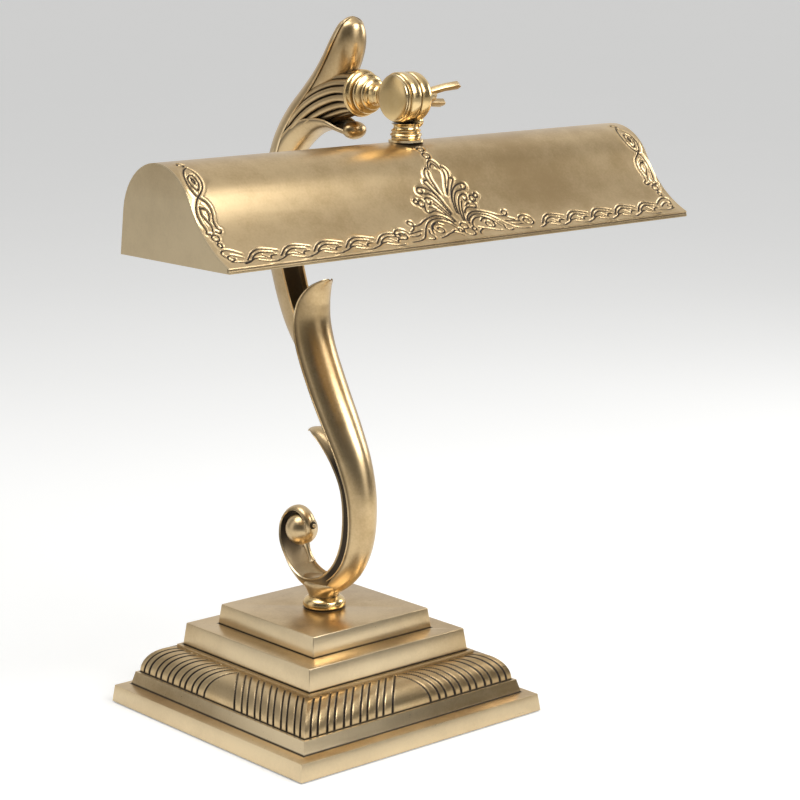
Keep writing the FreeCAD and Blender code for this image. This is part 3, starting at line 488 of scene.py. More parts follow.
def turned(name: str, outline: Sequence[Point2], steps: int = 72) -> bpy.types.Object:
    """Turn an outline of (radius, height) in millimetres about +Z into a closed solid.

    Args:
        name: The piece's name.
        outline: The points, from axis to axis, or round a ring whose last point joins the first.
        steps: How many points go round.

    Returns:
        The turned piece about the Z axis.
    """
    round_points = [(math.cos(2 * math.pi * k / steps), math.sin(2 * math.pi * k / steps))
                    for k in range(steps)]
    points: list[Point3] = []
    rings: list[list[int]] = []
    for radius, height in outline:
        on_axis = radius < 1e-6
        count = 1 if on_axis else steps
        rings.append([len(points) + (0 if on_axis else k) for k in range(steps)])
        points.extend((radius * x, radius * y, height) for x, y in round_points[:count])
    closed = rings[0][0] != rings[0][-1]
    faces = []
    for low, high in zip(rings, rings[1:] + (rings[:1] if closed else [])):
        for k in range(steps):
            following = (k + 1) % steps
            face = list(dict.fromkeys([low[k], low[following], high[following], high[k]]))
            if len(face) > 2:
                faces.append(face)
    piece = mesh_of(name, points, faces)
    outward(piece)
    return piece


def moved(piece: bpy.types.Object, place: Sequence[float], angle: float = 0.0,
          axis: str = "X") -> bpy.types.Object:
    """Turn a piece's mesh about an axis by radians and shift it in millimetres; its object stays put."""
    piece.data.transform(Matrix.Translation(Vector(place) * MM) @ Matrix.Rotation(angle, 4, axis))
    return piece


def finished(piece: bpy.types.Object, node: str, body: Body,
             finish: bpy.types.Material | None = None, angle: float | None = None) -> None:
    """Let a finished piece take the place of a CAD node.

    Args:
        piece: The piece.
        node: The CAD node that it replaces.
        body: The body that it rides on.
        finish: Its material, unless it has one.
        angle: The edge angle in degrees up to which it is shaded smooth, unless it already is.
    """
    if finish is not None:
        piece.data.materials.append(finish)
    if angle is not None:
        smooth(piece, angle)
    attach(piece, body.value)
    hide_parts(node)
    LOG.info("%s: %d faces", piece.name, len(piece.data.polygons))


# Finishes


class ShaderTree(Graph):
    """A material with its Principled shader, its output and its object coordinates."""

    def __init__(self, name: str) -> None:
        """Start an empty material."""
        self.material = bpy.data.materials.new(name)
        self.material.use_nodes = True
        super().__init__(self.material.node_tree)
        self.tree.nodes.clear()
        self.shader = self.node("ShaderNodeBsdfPrincipled")
        self.node("ShaderNodeOutputMaterial", None, {"Surface": self.shader.outputs[0]})
        self.place = self.node("ShaderNodeTexCoord").outputs["Object"]

    def set(self, **sockets: object) -> None:
        """Set or link sockets of the shader, with underscores for the spaces in their names."""
        for name, value in sockets.items():
            self.feed(self.shader.inputs[name.replace("_", " ")], value)

    def axes(self) -> tuple[Term, Term, Term]:
        """The three object coordinates in metres."""
        return self.parts(self.place)

    def stretched(self, scale: Point3) -> bpy.types.NodeSocket:
        """Object coordinates scaled along each axis."""
        return self.node("ShaderNodeMapping", None, {"Vector": self.place, "Scale": scale}).outputs[0]

    def noise(self, scale: float, detail: float = 3.0, roughness: float = 0.5,
              where: bpy.types.NodeSocket | None = None) -> Term:
        """Noise from 0 to 1 at a scale per metre."""
        made = self.node("ShaderNodeTexNoise", None, {
            "Vector": where or self.place, "Scale": scale, "Detail": detail, "Roughness": roughness})
        return self.term(made.outputs[0])

    def kept(self, name: str) -> Term:
        """A number stored on the piece, or 0 where it has none."""
        return self.term(self.node("ShaderNodeAttribute", {"attribute_name": name}).outputs["Fac"])

    def bumped(self, height: Term, strength: float, distance: float) -> None:
        """Feed a bump to the shader's normal, with its distance in millimetres."""
        made = self.node("ShaderNodeBump", None, {
            "Height": height, "Strength": strength, "Distance": distance * MM})
        self.set(Normal=made.outputs[0])


@dataclass(frozen=True)
class Brass:
    """Satin brass under clear lacquer, with patina and painted shade darkening its recesses and a painted
    highlight on its edges.
    """

    name: str
    light: Colour = linear(224, 197, 152)
    deep: Colour = linear(194, 165, 120)
    # Dark colour of the patina in engraved lines and joints, and of the painted shade in recesses and
    # grooves.
    patina_and_painted_shade: Colour = linear(34, 23, 12)
    rough: float = 0.30
    brush: Point3 = (60.0, 900.0, 900.0)
    grain: float = 0.06
    painted_crevice_shade: float = 0.85
    reach: float = 5.0
    shut_below: float = 0.18
    open_above: float = 0.66
    edge_from: float = 0.53
    edge_to: float = 0.60
    cloud_scales: Point3 = (14.0, 90.0, 700.0)
    # Paler colour of the painted highlight on convex edges.
    painted_edge_highlight: Colour = linear(250, 232, 196)
    edge_highlight_share: float = 0.5
    lines: tuple[Point2, ...] = ()
    line_core: float = 0.3
    line_reach: float = 1.3
    line_dark: float = 0.95

    def build(self) -> bpy.types.Material:
        """Make the material.

        Returns:
            The finished material.
        """
        tree = ShaderTree(self.name)
        broad_scale, cloud_scale, speck_scale = self.cloud_scales
        broad = tree.noise(broad_scale, 2.0)
        cloud = tree.noise(cloud_scale, 4.0, 0.6)
        speck = tree.noise(speck_scale, 2.0, 0.5)
        grain = tree.noise(1.0, 3.0, 0.6, tree.stretched(self.brush))
        # Painted shade: ambient occlusion darkens every crevice towards the dark colour.
        shut = tree.node("ShaderNodeAmbientOcclusion", {"samples": 12}, {"Distance": self.reach * MM})
        painted_crevice_shade = 1.0 - tree.term(shut.outputs["AO"]).rise(self.shut_below, self.open_above)
        dark = tree.kept(SHADE_AND_PATINA_ATTRIBUTE).held(0.0, 1.0).most(painted_crevice_shade * self.painted_crevice_shade)
        if self.lines:
            dark = dark.most(self.seam(tree))
        bulge = tree.term(tree.node("ShaderNodeNewGeometry").outputs["Pointiness"])
        edge = bulge.rise(self.edge_from, self.edge_to)
        share = (broad * 0.6 + cloud * 0.25 + speck * 0.15).rise(0.36, 0.64)
        ground = tree.mix(self.light, self.deep, share)
        # Painted highlight: convex edges, found by their pointiness, are mixed towards a paler colour.
        ground = tree.mix(ground, self.painted_edge_highlight, edge * self.edge_highlight_share)
        colour = tree.mix(ground, self.patina_and_painted_shade, dark)
        tree.set(Base_Color=colour, Metallic=1.0 - dark * 0.5,
                 Roughness=(self.rough + (grain - 0.5) * self.grain * 2.0 + dark * 0.25).held(0.05, 1.0))
        tree.bumped(grain * 0.3 + cloud * 0.4 + speck * 0.3, 0.08, 0.05)
        return tree.material

    def seam(self, tree: ShaderTree) -> Term:
        """Darkening along square lines round the Z axis, given as (half side, height)."""
        x, y, z = tree.axes()
        side = abs(x).most(abs(y))
        total: Term | None = None
        for half, level in self.lines:
            across = side - half * MM
            up = z - level * MM
            near = (across * across + up * up).math("SQRT")
            mask = 1.0 - near.rise(self.line_core * MM, self.line_reach * MM)
            total = mask if total is None else total.most(mask)
        return total * self.line_dark


@dataclass(frozen=True)
class Plain:
    """A plain finish with slight unevenness, for the hidden and fitted parts."""

    name: str
    colour: Colour
    second: Colour
    rough: float
    metallic: float = 0.0
    scale: float = 200.0
    bump: float = 0.03
    coat: float = 0.0

    def build(self) -> bpy.types.Material:
        """Make the material.

        Returns:
            The finished material.
        """
        tree = ShaderTree(self.name)
        noise = tree.noise(self.scale, 4.0, 0.6)
        tree.set(Base_Color=tree.mix(self.colour, self.second, noise.rise(0.3, 0.7)),
                 Metallic=self.metallic, Coat_Weight=self.coat,
                 Roughness=(noise * 0.12 + (self.rough - 0.06)).held(0.04, 1.0))
        tree.bumped(noise, 0.35, self.bump)
        return tree.material


@dataclass(frozen=True)
class FrostedGlass:
    """Milky glass of the two small lamps."""

    name: str
    colour: Colour = linear(240, 236, 226)

    def build(self) -> bpy.types.Material:
        """Make the material.

        Returns:
            The finished material.
        """
        tree = ShaderTree(self.name)
        noise = tree.noise(120.0, 3.0)
        tree.set(Base_Color=tree.mix(self.colour, linear(228, 226, 220), noise),
                 Roughness=0.28 + noise * 0.1, Coat_Weight=0.6)
        return tree.material


# The engraved shade


@dataclass(frozen=True)
class Bend:
    """One run of the shade's profile, between two headings of its outward normal."""

    length: float
    start: float
    end: float

    @property
    def radius(self) -> float:
        """Signed radius: positive where the sheet bends round its inner side, 0 where straight."""
        swing = math.radians(self.start - self.end)
        return self.length / swing if abs(swing) > 1e-9 else 0.0


@dataclass
class Engraving:
    """The engraver's strokes on the unrolled sheet: x along the shade, s up from the front lip."""

    strokes: list[list[Point2]] = field(default_factory=list)

    def both(self, *rows: Sequence[Point2]) -> None:
        """Add strokes and their mirror images about the middle of the shade."""
        for row in rows:
            self.strokes.append(list(row))
            self.strokes.append([(-x, s) for x, s in row])

    def ring(self, x: float, s: float, wide: float, tall: float | None = None, mirrored: bool = True) -> None:
        """Add a closed ring about a centre."""
        high = wide if tall is None else tall
        row = [(x + wide * math.cos(a * math.pi / 5), s + high * math.sin(a * math.pi / 5))
               for a in range(11)]
        if mirrored:
            self.both(row)
        else:
            self.strokes.append(row)

    def spiral(self, x: float, s: float, outer: float, inner: float, start: float, turns: float) -> None:
        """Add a mirrored pair of spirals that wind inwards from a starting heading in degrees."""
        steps = max(int(abs(turns) * 10), 6)
        row = []
        for k in range(steps + 1):
            part = k / steps
            angle = math.radians(start + 360.0 * turns * part)
            reach = outer + (inner - outer) * part
            row.append((x + reach * math.cos(angle), s + reach * math.sin(angle)))
        self.both(row)

    def border(self) -> None:
        """Add the running scroll along the front lip."""
        shapes = (
            ((0.0, 6.2), (2.6, 8.6), (6.0, 11.6), (10.0, 13.5), (13.6, 13.8), (18.5, 12.6), (23.6, 10.9)),
            ((3.4, 6.6), (6.4, 9.2), (10.4, 11.0), (14.6, 10.9), (19.4, 9.7)),
            ((-4.0, 2.8), (0.0, 4.0), (4.6, 6.4), (8.6, 6.7), (11.4, 5.8)),
            ((6.4, 4.7), (10.4, 3.0), (14.6, 2.0), (18.6, 2.2)),
            ((11.6, 8.6), (13.4, 6.6), (15.4, 5.2), (17.0, 7.4), (21.0, 7.6)),
        )
        units = 5
        for first, pitch, squeeze in ((-164.0, 23.0, 1.0), (59.0, 20.9, 0.91)):
            for k in range(units):
                for shape in shapes:
                    self.strokes.append([(first + k * pitch + u * squeeze, s) for u, s in shape])

    def corner(self) -> None:
        """Add the curled leaf in each lower corner."""
        self.both(
            ((-164.6, 11.4), (-168.4, 14.0), (-172.0, 15.6), (-175.6, 15.4), (-177.2, 13.0), (-176.4, 10.2)),
            ((-166.0, 8.2), (-168.6, 10.0), (-172.0, 11.4), (-174.6, 10.6), (-175.4, 8.0), (-173.6, 6.6),
             (-171.4, 7.8), (-172.2, 9.4)),
            ((-162.0, 5.4), (-166.0, 4.4), (-170.0, 4.6), (-175.0, 5.8)),
        )

    def ends(self) -> None:
        """Add the two linked leaves with their drops and ring up each end."""
        self.both(
            ((-170.0, 73.4), (-172.6, 71.6), (-175.2, 67.8), (-176.8, 62.8), (-177.0, 57.2), (-175.4, 52.6),
             (-172.6, 49.8), (-170.0, 47.4), (-168.6, 44.0), (-168.8, 39.6)),
            ((-170.2, 73.2), (-168.4, 70.2), (-167.2, 65.4), (-167.4, 60.2), (-168.8, 56.4), (-171.4, 53.4),
             (-174.6, 50.4), (-177.0, 46.8), (-178.6, 42.0), (-178.4, 36.4), (-177.2, 31.4), (-177.8, 28.6),
             (-175.8, 28.0)),
            ((-168.8, 39.6), (-170.0, 35.4), (-169.6, 31.6), (-167.8, 29.8), (-169.2, 28.0), (-171.8, 29.2)),
            ((-170.2, 66.4), (-173.0, 66.0), (-175.2, 62.6), (-174.8, 58.0), (-172.4, 55.4), (-170.2, 58.4),
             (-169.8, 62.6), (-170.6, 66.0)),
            ((-172.4, 64.2), (-173.2, 61.6), (-172.2, 59.8), (-171.6, 61.8), (-172.3, 64.0)),
            ((-175.4, 45.0), (-175.8, 40.8), (-174.2, 37.2), (-172.6, 33.0), (-173.4, 29.6)),
            ((-174.8, 44.4), (-172.0, 43.6), (-171.2, 40.4), (-172.4, 36.6)),
            ((-171.4, 74.6), (-173.4, 77.0), (-171.4, 79.4), (-169.4, 77.0), (-171.2, 74.8)),
        )
        self.ring(-174.0, 25.2, 2.3)
        self.ring(-174.1, 19.8, 1.4, 1.7)

    def middle(self) -> None:
        """Add the palmette and its acanthus scrolls at the middle of the front."""
        self.ring(0.0, 70.6, 2.4, 2.0, mirrored=False)
        self.ring(0.0, 64.4, 2.5, mirrored=False)
        self.ring(0.0, 12.6, 2.6, mirrored=False)
        self.both(
            ((0.0, 60.5), (1.9, 59.6), (3.4, 57.4), (4.4, 54.2)),
            ((0.0, 57.8), (1.4, 57.2), (2.4, 55.4)),
            ((5.6, 55.2), (7.8, 54.0), (9.1, 51.4), (9.0, 48.8), (7.8, 46.0), (5.6, 42.0), (3.4, 38.0)),
            ((5.8, 52.6), (6.0, 48.6), (4.2, 43.0), (2.6, 37.0)),
            ((9.6, 47.4), (11.6, 46.4), (9.0, 42.6), (5.8, 37.6), (3.6, 31.4)),
            ((19.0, 42.6), (16.8, 43.4), (12.2, 42.3), (8.4, 39.6), (5.2, 34.8), (3.0, 28.4), (2.0, 23.6)),
            ((19.0, 42.6), (19.2, 40.6), (17.4, 39.2), (15.4, 39.8), (15.6, 41.6)),
            ((14.6, 39.0), (10.4, 38.2), (7.2, 34.8), (4.8, 29.4), (3.0, 22.6)),
            ((16.4, 35.6), (14.2, 36.2), (10.8, 34.6), (7.8, 30.2), (5.0, 24.0), (3.0, 17.0)),
            ((16.2, 35.2), (15.8, 32.6), (13.8, 31.6), (12.6, 33.2)),
            ((11.2, 31.6), (8.6, 27.6), (6.0, 21.6), (4.2, 17.0)),
            ((18.8, 29.8), (20.0, 27.6), (18.4, 25.6), (14.4, 26.6), (11.0, 26.0), (8.0, 22.8)),
            ((15.8, 29.6), (13.4, 29.0), (11.8, 27.6)),
            ((5.6, 16.6), (8.8, 20.6), (13.6, 23.0), (19.0, 22.8), (25.4, 20.6), (31.0, 17.8), (35.6, 17.0),
             (38.6, 18.2), (39.4, 20.4), (37.2, 21.2), (35.6, 19.4), (37.2, 15.4), (41.0, 13.0)),
            ((5.4, 14.0), (8.0, 17.8), (12.6, 20.6), (18.2, 20.8), (23.6, 18.8), (28.0, 15.0), (31.6, 10.6),
             (35.4, 6.4), (40.0, 4.2), (47.0, 3.4)),
            ((6.6, 11.4), (8.8, 15.4), (13.0, 18.0), (18.4, 18.2), (22.8, 16.0), (25.4, 12.2), (26.6, 8.6)),
            ((27.6, 12.6), (29.2, 9.0), (28.2, 5.8), (30.4, 3.6), (34.0, 4.6)),
            ((33.0, 13.0), (37.6, 12.2), (43.6, 11.2)),
            ((36.0, 9.6), (40.4, 8.4), (44.8, 8.8)),
            ((0.0, 3.0), (2.6, 4.0), (3.8, 6.6), (2.4, 9.6)),
            ((6.6, 3.6), (8.2, 6.2), (11.6, 8.0), (15.2, 7.4), (19.4, 5.6), (24.4, 4.2)),
            ((9.0, 10.0), (11.8, 8.8)),
        )
        self.ring(23.8, 34.4, 1.5)
        self.ring(20.2, 32.6, 2.2)
        self.ring(5.6, 9.2, 1.5)
        self.spiral(19.6, 12.0, 5.4, 1.2, 150.0, -1.35)
        self.spiral(49.8, 10.6, 6.0, 1.4, 175.0, -1.5)

    def build(self) -> bpy.types.Object:
        """Lay every stroke down as one curve object on the unrolled sheet.

        Returns:
            The object of open polylines.
        """
        self.border()
        self.corner()
        self.ends()
        self.middle()
        return drawn("engraving_strokes", [[(x, s, 0.0, 1.0) for x, s in row] for row in self.strokes])


@dataclass
class SheetBlank:
    """The unrolled sheet: a fine net where the engraver works, and a coarse one elsewhere."""

    half: float
    low: float
    high: float
    thickness: float
    fine: float = 0.5
    coarse: float = 4.5
    band_top: float = 17.0
    end_inner: float = 165.0
    end_top: float = 84.0
    middle_half: float = 44.0
    middle_top: float = 75.0
    points: list[Point3] = field(default_factory=list)
    faces: list[list[int]] = field(default_factory=list)
    seen: dict[tuple[int, int, int], int] = field(default_factory=dict)

    def point(self, x: float, s: float, depth: float) -> int:
        """Number of the point at a place, which is made if it is new."""
        key = (round(x * 1000), round(s * 1000), round(depth * 1000))
        if key not in self.seen:
            self.seen[key] = len(self.points)
            self.points.append((x, s, depth))
        return self.seen[key]

    @staticmethod
    def steps(start: float, end: float, pitch: float) -> list[float]:
        """Evenly spaced values from start to end, both included."""
        count = max(1, round((end - start) / pitch))
        return [start + (end - start) * k / count for k in range(count + 1)]

    @staticmethod
    def around(under: Sequence[float], right: Sequence[float], over: Sequence[float],
               left: Sequence[float]) -> list[Point2]:
        """Points round a region, from the places along its four sides in rising order."""
        points = [(x, left[0]) for x in under]
        points += [(under[-1], s) for s in right[1:]]
        points += [(x, right[-1]) for x in reversed(over[:-1])]
        points += [(under[0], s) for s in reversed(left[1:-1])]
        return points

    def net(self, columns: Sequence[float], rows: Sequence[float]) -> None:
        """Add a block of square faces on the outer skin."""
        for left, right in zip(columns, columns[1:]):
            for under, over in zip(rows, rows[1:]):
                self.faces.append([self.point(left, under, 0.0), self.point(right, under, 0.0),
                                   self.point(right, over, 0.0), self.point(left, over, 0.0)])

    def fill(self, loop: Sequence[Point2], depth: float, flipped: bool = False) -> None:
        """Fill a loop with a coarse net that meets its edge points exactly.

        Args:
            loop: The points round the region, without a repeat at the end.
            depth: How far under the outer skin the net lies.
            flipped: Whether its faces look inwards.
        """
        flat = [Vector(point) for point in loop]
        count = len(flat)
        xs = [p.x for p in flat]
        ys = [p.y for p in flat]
        columns = self.steps(min(xs), max(xs), self.coarse)[1:-1]
        rows = self.steps(min(ys), max(ys), self.coarse * 0.7)[1:-1]
        inside = [Vector((x, s)) for x in columns for s in rows]
        edges = [(k, (k + 1) % count) for k in range(count)]
        net, _, faces, *_ = delaunay_2d_cdt(flat + inside, edges, [], 1, 1e-5)
        for face in faces:
            made = [self.point(net[k].x, net[k].y, depth) for k in face]
            self.faces.append(made[::-1] if flipped else made)

    def build(self) -> bpy.types.Object:
        """Make the closed blank.

        Returns:
            The blank, flat in X and Y, with the inner skin below the outer one.
        """
        near = 1e-6
        across = self.steps(-self.half, self.half, self.fine)
        lowest = self.steps(self.low, 0.0, self.fine) + self.steps(0.0, self.band_top, self.fine)[1:]
        upper = self.steps(self.band_top, self.end_top, self.fine)
        central = self.steps(self.band_top, self.middle_top, self.fine)
        left = [x for x in across if x <= -self.end_inner + near]
        right = [x for x in across if x >= self.end_inner - near]
        inner = [x for x in across if abs(x) <= self.middle_half + near]
        for columns, rows in ((across, lowest), (left, upper), (right, upper), (inner, central)):
            self.net(columns, rows)
        between = self.steps(self.middle_half, self.end_inner, self.coarse)
        beside = [s for s in upper if s <= self.middle_top + near]
        for sign in (-1, 1):
            under = [x for x in across if self.middle_half - near <= sign * x <= self.end_inner + near]
            sides = (central, beside) if sign > 0 else (beside, central)
            self.fill(self.around(under, sides[1], sorted(sign * x for x in between), sides[0]), 0.0)
        rim = [s for s in upper if s >= self.middle_top - near]
        mirrored = {*between, *(-x for x in between)}
        over = sorted({*mirrored, *self.steps(-self.middle_half, self.middle_half, self.coarse)})
        self.fill(self.around(sorted({*mirrored, *inner}), rim, over, rim), 0.0)
        tall = self.steps(self.end_top, self.high, self.coarse)
        top = self.steps(-self.half, self.half, self.coarse)
        self.fill(self.around(left + over[1:-1] + right, tall, top, tall), 0.0)
        side = lowest + upper[1:] + tall[1:]
        loop = self.around(across, side, top, side)
        self.fill(loop, -self.thickness, flipped=True)
        for (x0, s0), (x1, s1) in zip(loop, loop[1:] + loop[:1]):
            self.faces.append([self.point(x0, s0, -self.thickness), self.point(x1, s1, -self.thickness),
                               self.point(x1, s1, 0.0), self.point(x0, s0, 0.0)])
        return mesh_of("shade_blank", self.points, self.faces)


@dataclass
class OgeeShade:
    """The long shade: an ogee sheet with an engraved front, between two flat end plates."""

    length: float = 362.0
    sheet: float = 1.0
    lip_y: float = -144.4
    floor_z: float = 322.6
    hem: float = 3.3
    hem_round: float = 1.2
    flare_radius: float = 70.0
    dome_radius: float = 33.6
    lip_heading: float = 112.896
    joint_heading: float = 153.154
    wall_heading: float = 8.040
    wall: float = 25.955
    groove_half: float = 0.62
    groove_depth: float = 0.5
    rim_height: float = 0.26
    bead_below: float = 1.25
    bead_half: float = 0.65
    stroke_step: float = 0.4

    def profile(self) -> list[Bend]:
        """The runs of the profile from the bottom of the hem over the dome to the back foot."""
        corner = 180.0 - self.lip_heading
        cut = self.hem_round * math.tan(math.radians(corner) / 2)
        lost = math.degrees(cut / self.flare_radius)
        flare_swing = self.joint_heading - self.lip_heading - lost
        dome_swing = self.joint_heading - self.wall_heading
        return [
            Bend(self.hem - cut, 180.0, 180.0),
            Bend(self.hem_round * math.radians(corner - lost), 180.0, self.lip_heading + lost),
            Bend(self.flare_radius * math.radians(flare_swing), self.lip_heading + lost, self.joint_heading),
            Bend(self.dome_radius * math.radians(dome_swing), self.joint_heading, self.wall_heading),
            Bend(self.wall, self.wall_heading, self.wall_heading),
        ]

    def tree(self, bends: Sequence[Bend], low: float) -> GeometryTree:
        """Write the tree that cuts the strokes and wraps the sheet round its profile.

        Args:
            bends: The runs of the profile.
            low: Where the first run starts on the sheet.

        Returns:
            The tree, ready to run on the blank.
        """
        sizes = {"Groove half width": self.groove_half * MM, "Groove depth": self.groove_depth * MM,
                 "Rim height": self.rim_height * MM, "Lip Y": self.lip_y * MM,
                 "Floor Z": self.floor_z * MM, "Sheet start": low * MM}
        for k, bend in enumerate(bends):
            sizes["Run %d length" % k] = bend.length * MM
            sizes["Run %d heading" % k] = math.radians(bend.start)
            sizes["Run %d radius" % k] = bend.radius * MM
        tree = GeometryTree("engrave_and_wrap", sizes, ["Strokes"])
        strokes = tree.node("GeometryNodeObjectInfo", {"transform_space": "ORIGINAL"},
                            {"Object": tree.entry.outputs["Strokes"]})
        flowing = tree.node("GeometryNodeCurveSplineType", {"spline_type": "CATMULL_ROM"},
                            {"Curve": strokes.outputs["Geometry"]})
        dense = tree.node("GeometryNodeResampleCurve", {"mode": "LENGTH"},
                          {"Curve": flowing.outputs[0], "Length": self.stroke_step * MM})
        wires = tree.node("GeometryNodeCurveToMesh", None, {"Curve": dense.outputs[0]})
        here = tree.node("GeometryNodeInputPosition").outputs[0]
        x, s, depth = tree.parts(here)
        near = tree.node("GeometryNodeProximity", {"target_element": "EDGES"},
                         {0: wires.outputs[0], "Source Position": tree.vector(x, s, 0.0)})
        gap = tree.term(near.outputs["Distance"])
        half = tree.size("Groove half width")
        cut = 1.0 - gap.rise(half * 0.6, half * 1.4)
        rim = gap.rise(half * 1.0, half * 1.9) * (1.0 - gap.rise(half * 2.2, half * 4.2))
        outside = 1.0 - (-depth).rise(0.0, 0.05 * MM)
        bead = 1.0 - abs(s + self.bead_below * MM).rise(0.1 * MM, self.bead_half * MM)
        cut = cut.most(bead)
        relief = (rim * tree.size("Rim height") - cut * tree.size("Groove depth")) * outside
        along = s - tree.size("Sheet start")
        heading: Term | None = None
        y: Term = tree.size("Lip Y")
        z: Term = tree.size("Floor Z")
        for k, bend in enumerate(bends):
            length = tree.size("Run %d length" % k)
            start = tree.size("Run %d heading" % k)
            done = along.held(0.0, length)
            if bend.radius == 0.0:
                y = y + done * start.math("SINE")
                z = z - done * start.math("COSINE")
                heading = start if heading is None else heading
            else:
                radius = tree.size("Run %d radius" % k)
                swing = done / radius
                now = start - swing
                y = y + radius * (now.math("COSINE") - start.math("COSINE"))
                z = z + radius * (now.math("SINE") - start.math("SINE"))
                heading = heading - swing
            along = along - length
        out = relief + depth
        y = y + out * heading.math("COSINE")
        z = z + out * heading.math("SINE")
        tree.close(tree.shaped(cut * outside, tree.vector(x, y, z)))
        return tree

    def build(self, nodes: dict[str, bpy.types.Object], finish: bpy.types.Material,
              plate: bpy.types.Material) -> None:
        """Make the engraved sheet and dress the two end plates.

        Args:
            nodes: The CAD nodes by name.
            finish: The brass of the engraved sheet.
            plate: The brass of the end plates.
        """
        bends = self.profile()
        low = -(bends[0].length + bends[1].length / 2)
        high = low + sum(bend.length for bend in bends)
        blank = SheetBlank(self.length / 2, low, high, self.sheet).build()
        strokes = Engraving().build()
        piece = self.tree(bends, low).grow(blank, "engraved_shade", finish, {"Strokes": strokes})
        finished(piece, "shade_shell", Body.SHADE, angle=50.0)
        dress(nodes, ("end_cap_left", "end_cap_right"), plate)


# The stepped base


@dataclass
class SteppedBase:
    """Square plinth, gadrooned course and two plain steps."""

    course_side: float = 173.0
    course_radius: float = 17.6
    course_bottom: float = 21.4
    course_top: float = 41.0
    groove_first: float = 4.5
    reed_narrow: float = 5.6
    reed_wide: float = 7.6
    reed_pairs: int = 5
    reed_depth: float = 1.15
    groove_dark: float = 0.72
    panel_groove: float = 1.6
    deck_inset: float = 8.0
    edge: float = 0.6

    def course_blank(self, columns: int = 420, rows: int = 24) -> bpy.types.Object:
        """Flat net of the course: X runs along a side from -1 to 1, Y up the round, Z holds the side."""
        points: list[Point3] = []
        faces: list[list[int]] = []
        for side in range(4):
            first = len(points)
            for j in range(rows + 1):
                for i in range(columns + 1):
                    points.append((1000.0 * (2.0 * i / columns - 1.0), 1000.0 * j / rows, 1000.0 * side))
            for j in range(rows):
                for i in range(columns):
                    a = first + j * (columns + 1) + i
                    faces.append([a, a + 1, a + columns + 2, a + columns + 1])
        return mesh_of("course_blank", points, faces)

    def course_tree(self) -> GeometryTree:
        """Write the tree that rounds the course and cuts its slanting reeds.

        Returns:
            The tree, ready to run on the flat net.
        """
        sizes = {"Foot half side": self.course_side / 2 * MM, "Round radius": self.course_radius * MM,
                 "Foot level": self.course_bottom * MM, "First groove": self.groove_first * MM,
                 "Narrow reed": self.reed_narrow * MM, "Wide reed": self.reed_wide * MM,
                 "Reeded reach": (self.groove_first
                                  + self.reed_pairs * (self.reed_narrow + self.reed_wide)) * MM,
                 "Reed depth": self.reed_depth * MM,
                 "Dark groove half width": self.groove_dark * MM}
        tree = GeometryTree("gadrooned_course", sizes)
        here = tree.node("GeometryNodeInputPosition").outputs[0]
        u, v, side = tree.parts(here)
        radius = tree.size("Round radius")
        foot = tree.size("Foot half side")
        turn = v * (math.pi / 2)
        out = foot - radius * (1.0 - turn.math("COSINE"))
        rise = tree.size("Foot level") + radius * turn.math("SINE")
        x = u * out
        across = out - abs(x)
        first, narrow, wide = tree.size("First groove"), tree.size("Narrow reed"), tree.size("Wide reed")
        inside = (across - first) % (narrow + wide)
        slim = inside.below(narrow)
        corner = across.below(first)
        centre = slim * (narrow * 0.5) + (1.0 - slim) * (narrow + wide * 0.5)
        half = slim * (narrow * 0.5) + (1.0 - slim) * (wide * 0.5)
        spread = abs(inside - centre) / half
        spread = corner * (across / first) + (1.0 - corner) * spread
        beyond = across - tree.size("Reeded reach")
        panel = 1.0 - (beyond / (self.panel_groove * MM)).held(0.0, 1.0)
        plain = 1.0 - beyond.below(0.0)
        spread = plain * panel + (1.0 - plain) * spread
        width = plain * (self.panel_groove * MM) + (1.0 - plain) * (corner * first + (1.0 - corner) * half)
        from_groove = (1.0 - spread) * width
        full = spread ** 3.0
        sunk = 1.0 - (1.0 - full * full).held(0.0, 1.0).math("SQRT")
        fade = v.rise(0.0, 0.05) * (1.0 - v.rise(0.93, 1.0))
        sunk = sunk * fade
        deep = radius - sunk * tree.size("Reed depth")
        out = foot - radius + deep * turn.math("COSINE")
        rise = tree.size("Foot level") + deep * turn.math("SINE")
        x = u * out
        quarter = side * (math.pi / 2)
        cosine, sine = quarter.math("COSINE"), quarter.math("SINE")
        place = tree.vector(x * cosine + out * sine, x * sine - out * cosine, rise)
        # Painted shade: the grooves between the reeds and the foot of the round are darkened.
        groove = tree.size("Dark groove half width")
        dark = (1.0 - from_groove.rise(groove, groove * 1.9)) * fade.rise(0.1, 0.6)
        dark = dark.most((1.0 - v.rise(0.0, 0.045)) * 0.9)
        tree.close(tree.welded(tree.shaped(dark, place), 0.02))
        return tree

    def close_course(self, piece: bpy.types.Object) -> None:
        """Add the top fillet, the well and the underside to the reeded faces."""
        middle = (self.course_bottom + self.course_top) / 2 * MM
        with edited(piece) as work:
            edges = [edge for edge in work.edges if edge.is_boundary]
            top = [edge for edge in edges if edge.verts[0].co.z > middle]
            low = [edge for edge in edges if edge.verts[0].co.z <= middle]
            raised = self.extruded(work, top)
            for vert in raised["verts"]:
                vert.co.z = self.course_top * MM
            self.draw_in(self.extruded(work, raised["edges"])["verts"])
            self.draw_in(self.extruded(work, low)["verts"])
            bmesh.ops.remove_doubles(work, verts=work.verts, dist=0.02 * MM)

    @staticmethod
    def extruded(work: bmesh.types.BMesh, ring: list[bmesh.types.BMEdge]) -> dict[str, list]:
        """Extrude a ring of edges and hand back its new points and edges."""
        made = bmesh.ops.extrude_edge_only(work, edges=ring)["geom"]
        return {"verts": [part for part in made if isinstance(part, bmesh.types.BMVert)],
                "edges": [part for part in made if isinstance(part, bmesh.types.BMEdge)]}

    def draw_in(self, verts: Iterable[bmesh.types.BMVert]) -> None:
        """Draw points inwards to the square well inside the course."""
        well = (self.course_side / 2 - self.course_radius - self.deck_inset) * MM
        for vert in verts:
            share = well / max(abs(vert.co.x), abs(vert.co.y))
            vert.co.x *= share
            vert.co.y *= share

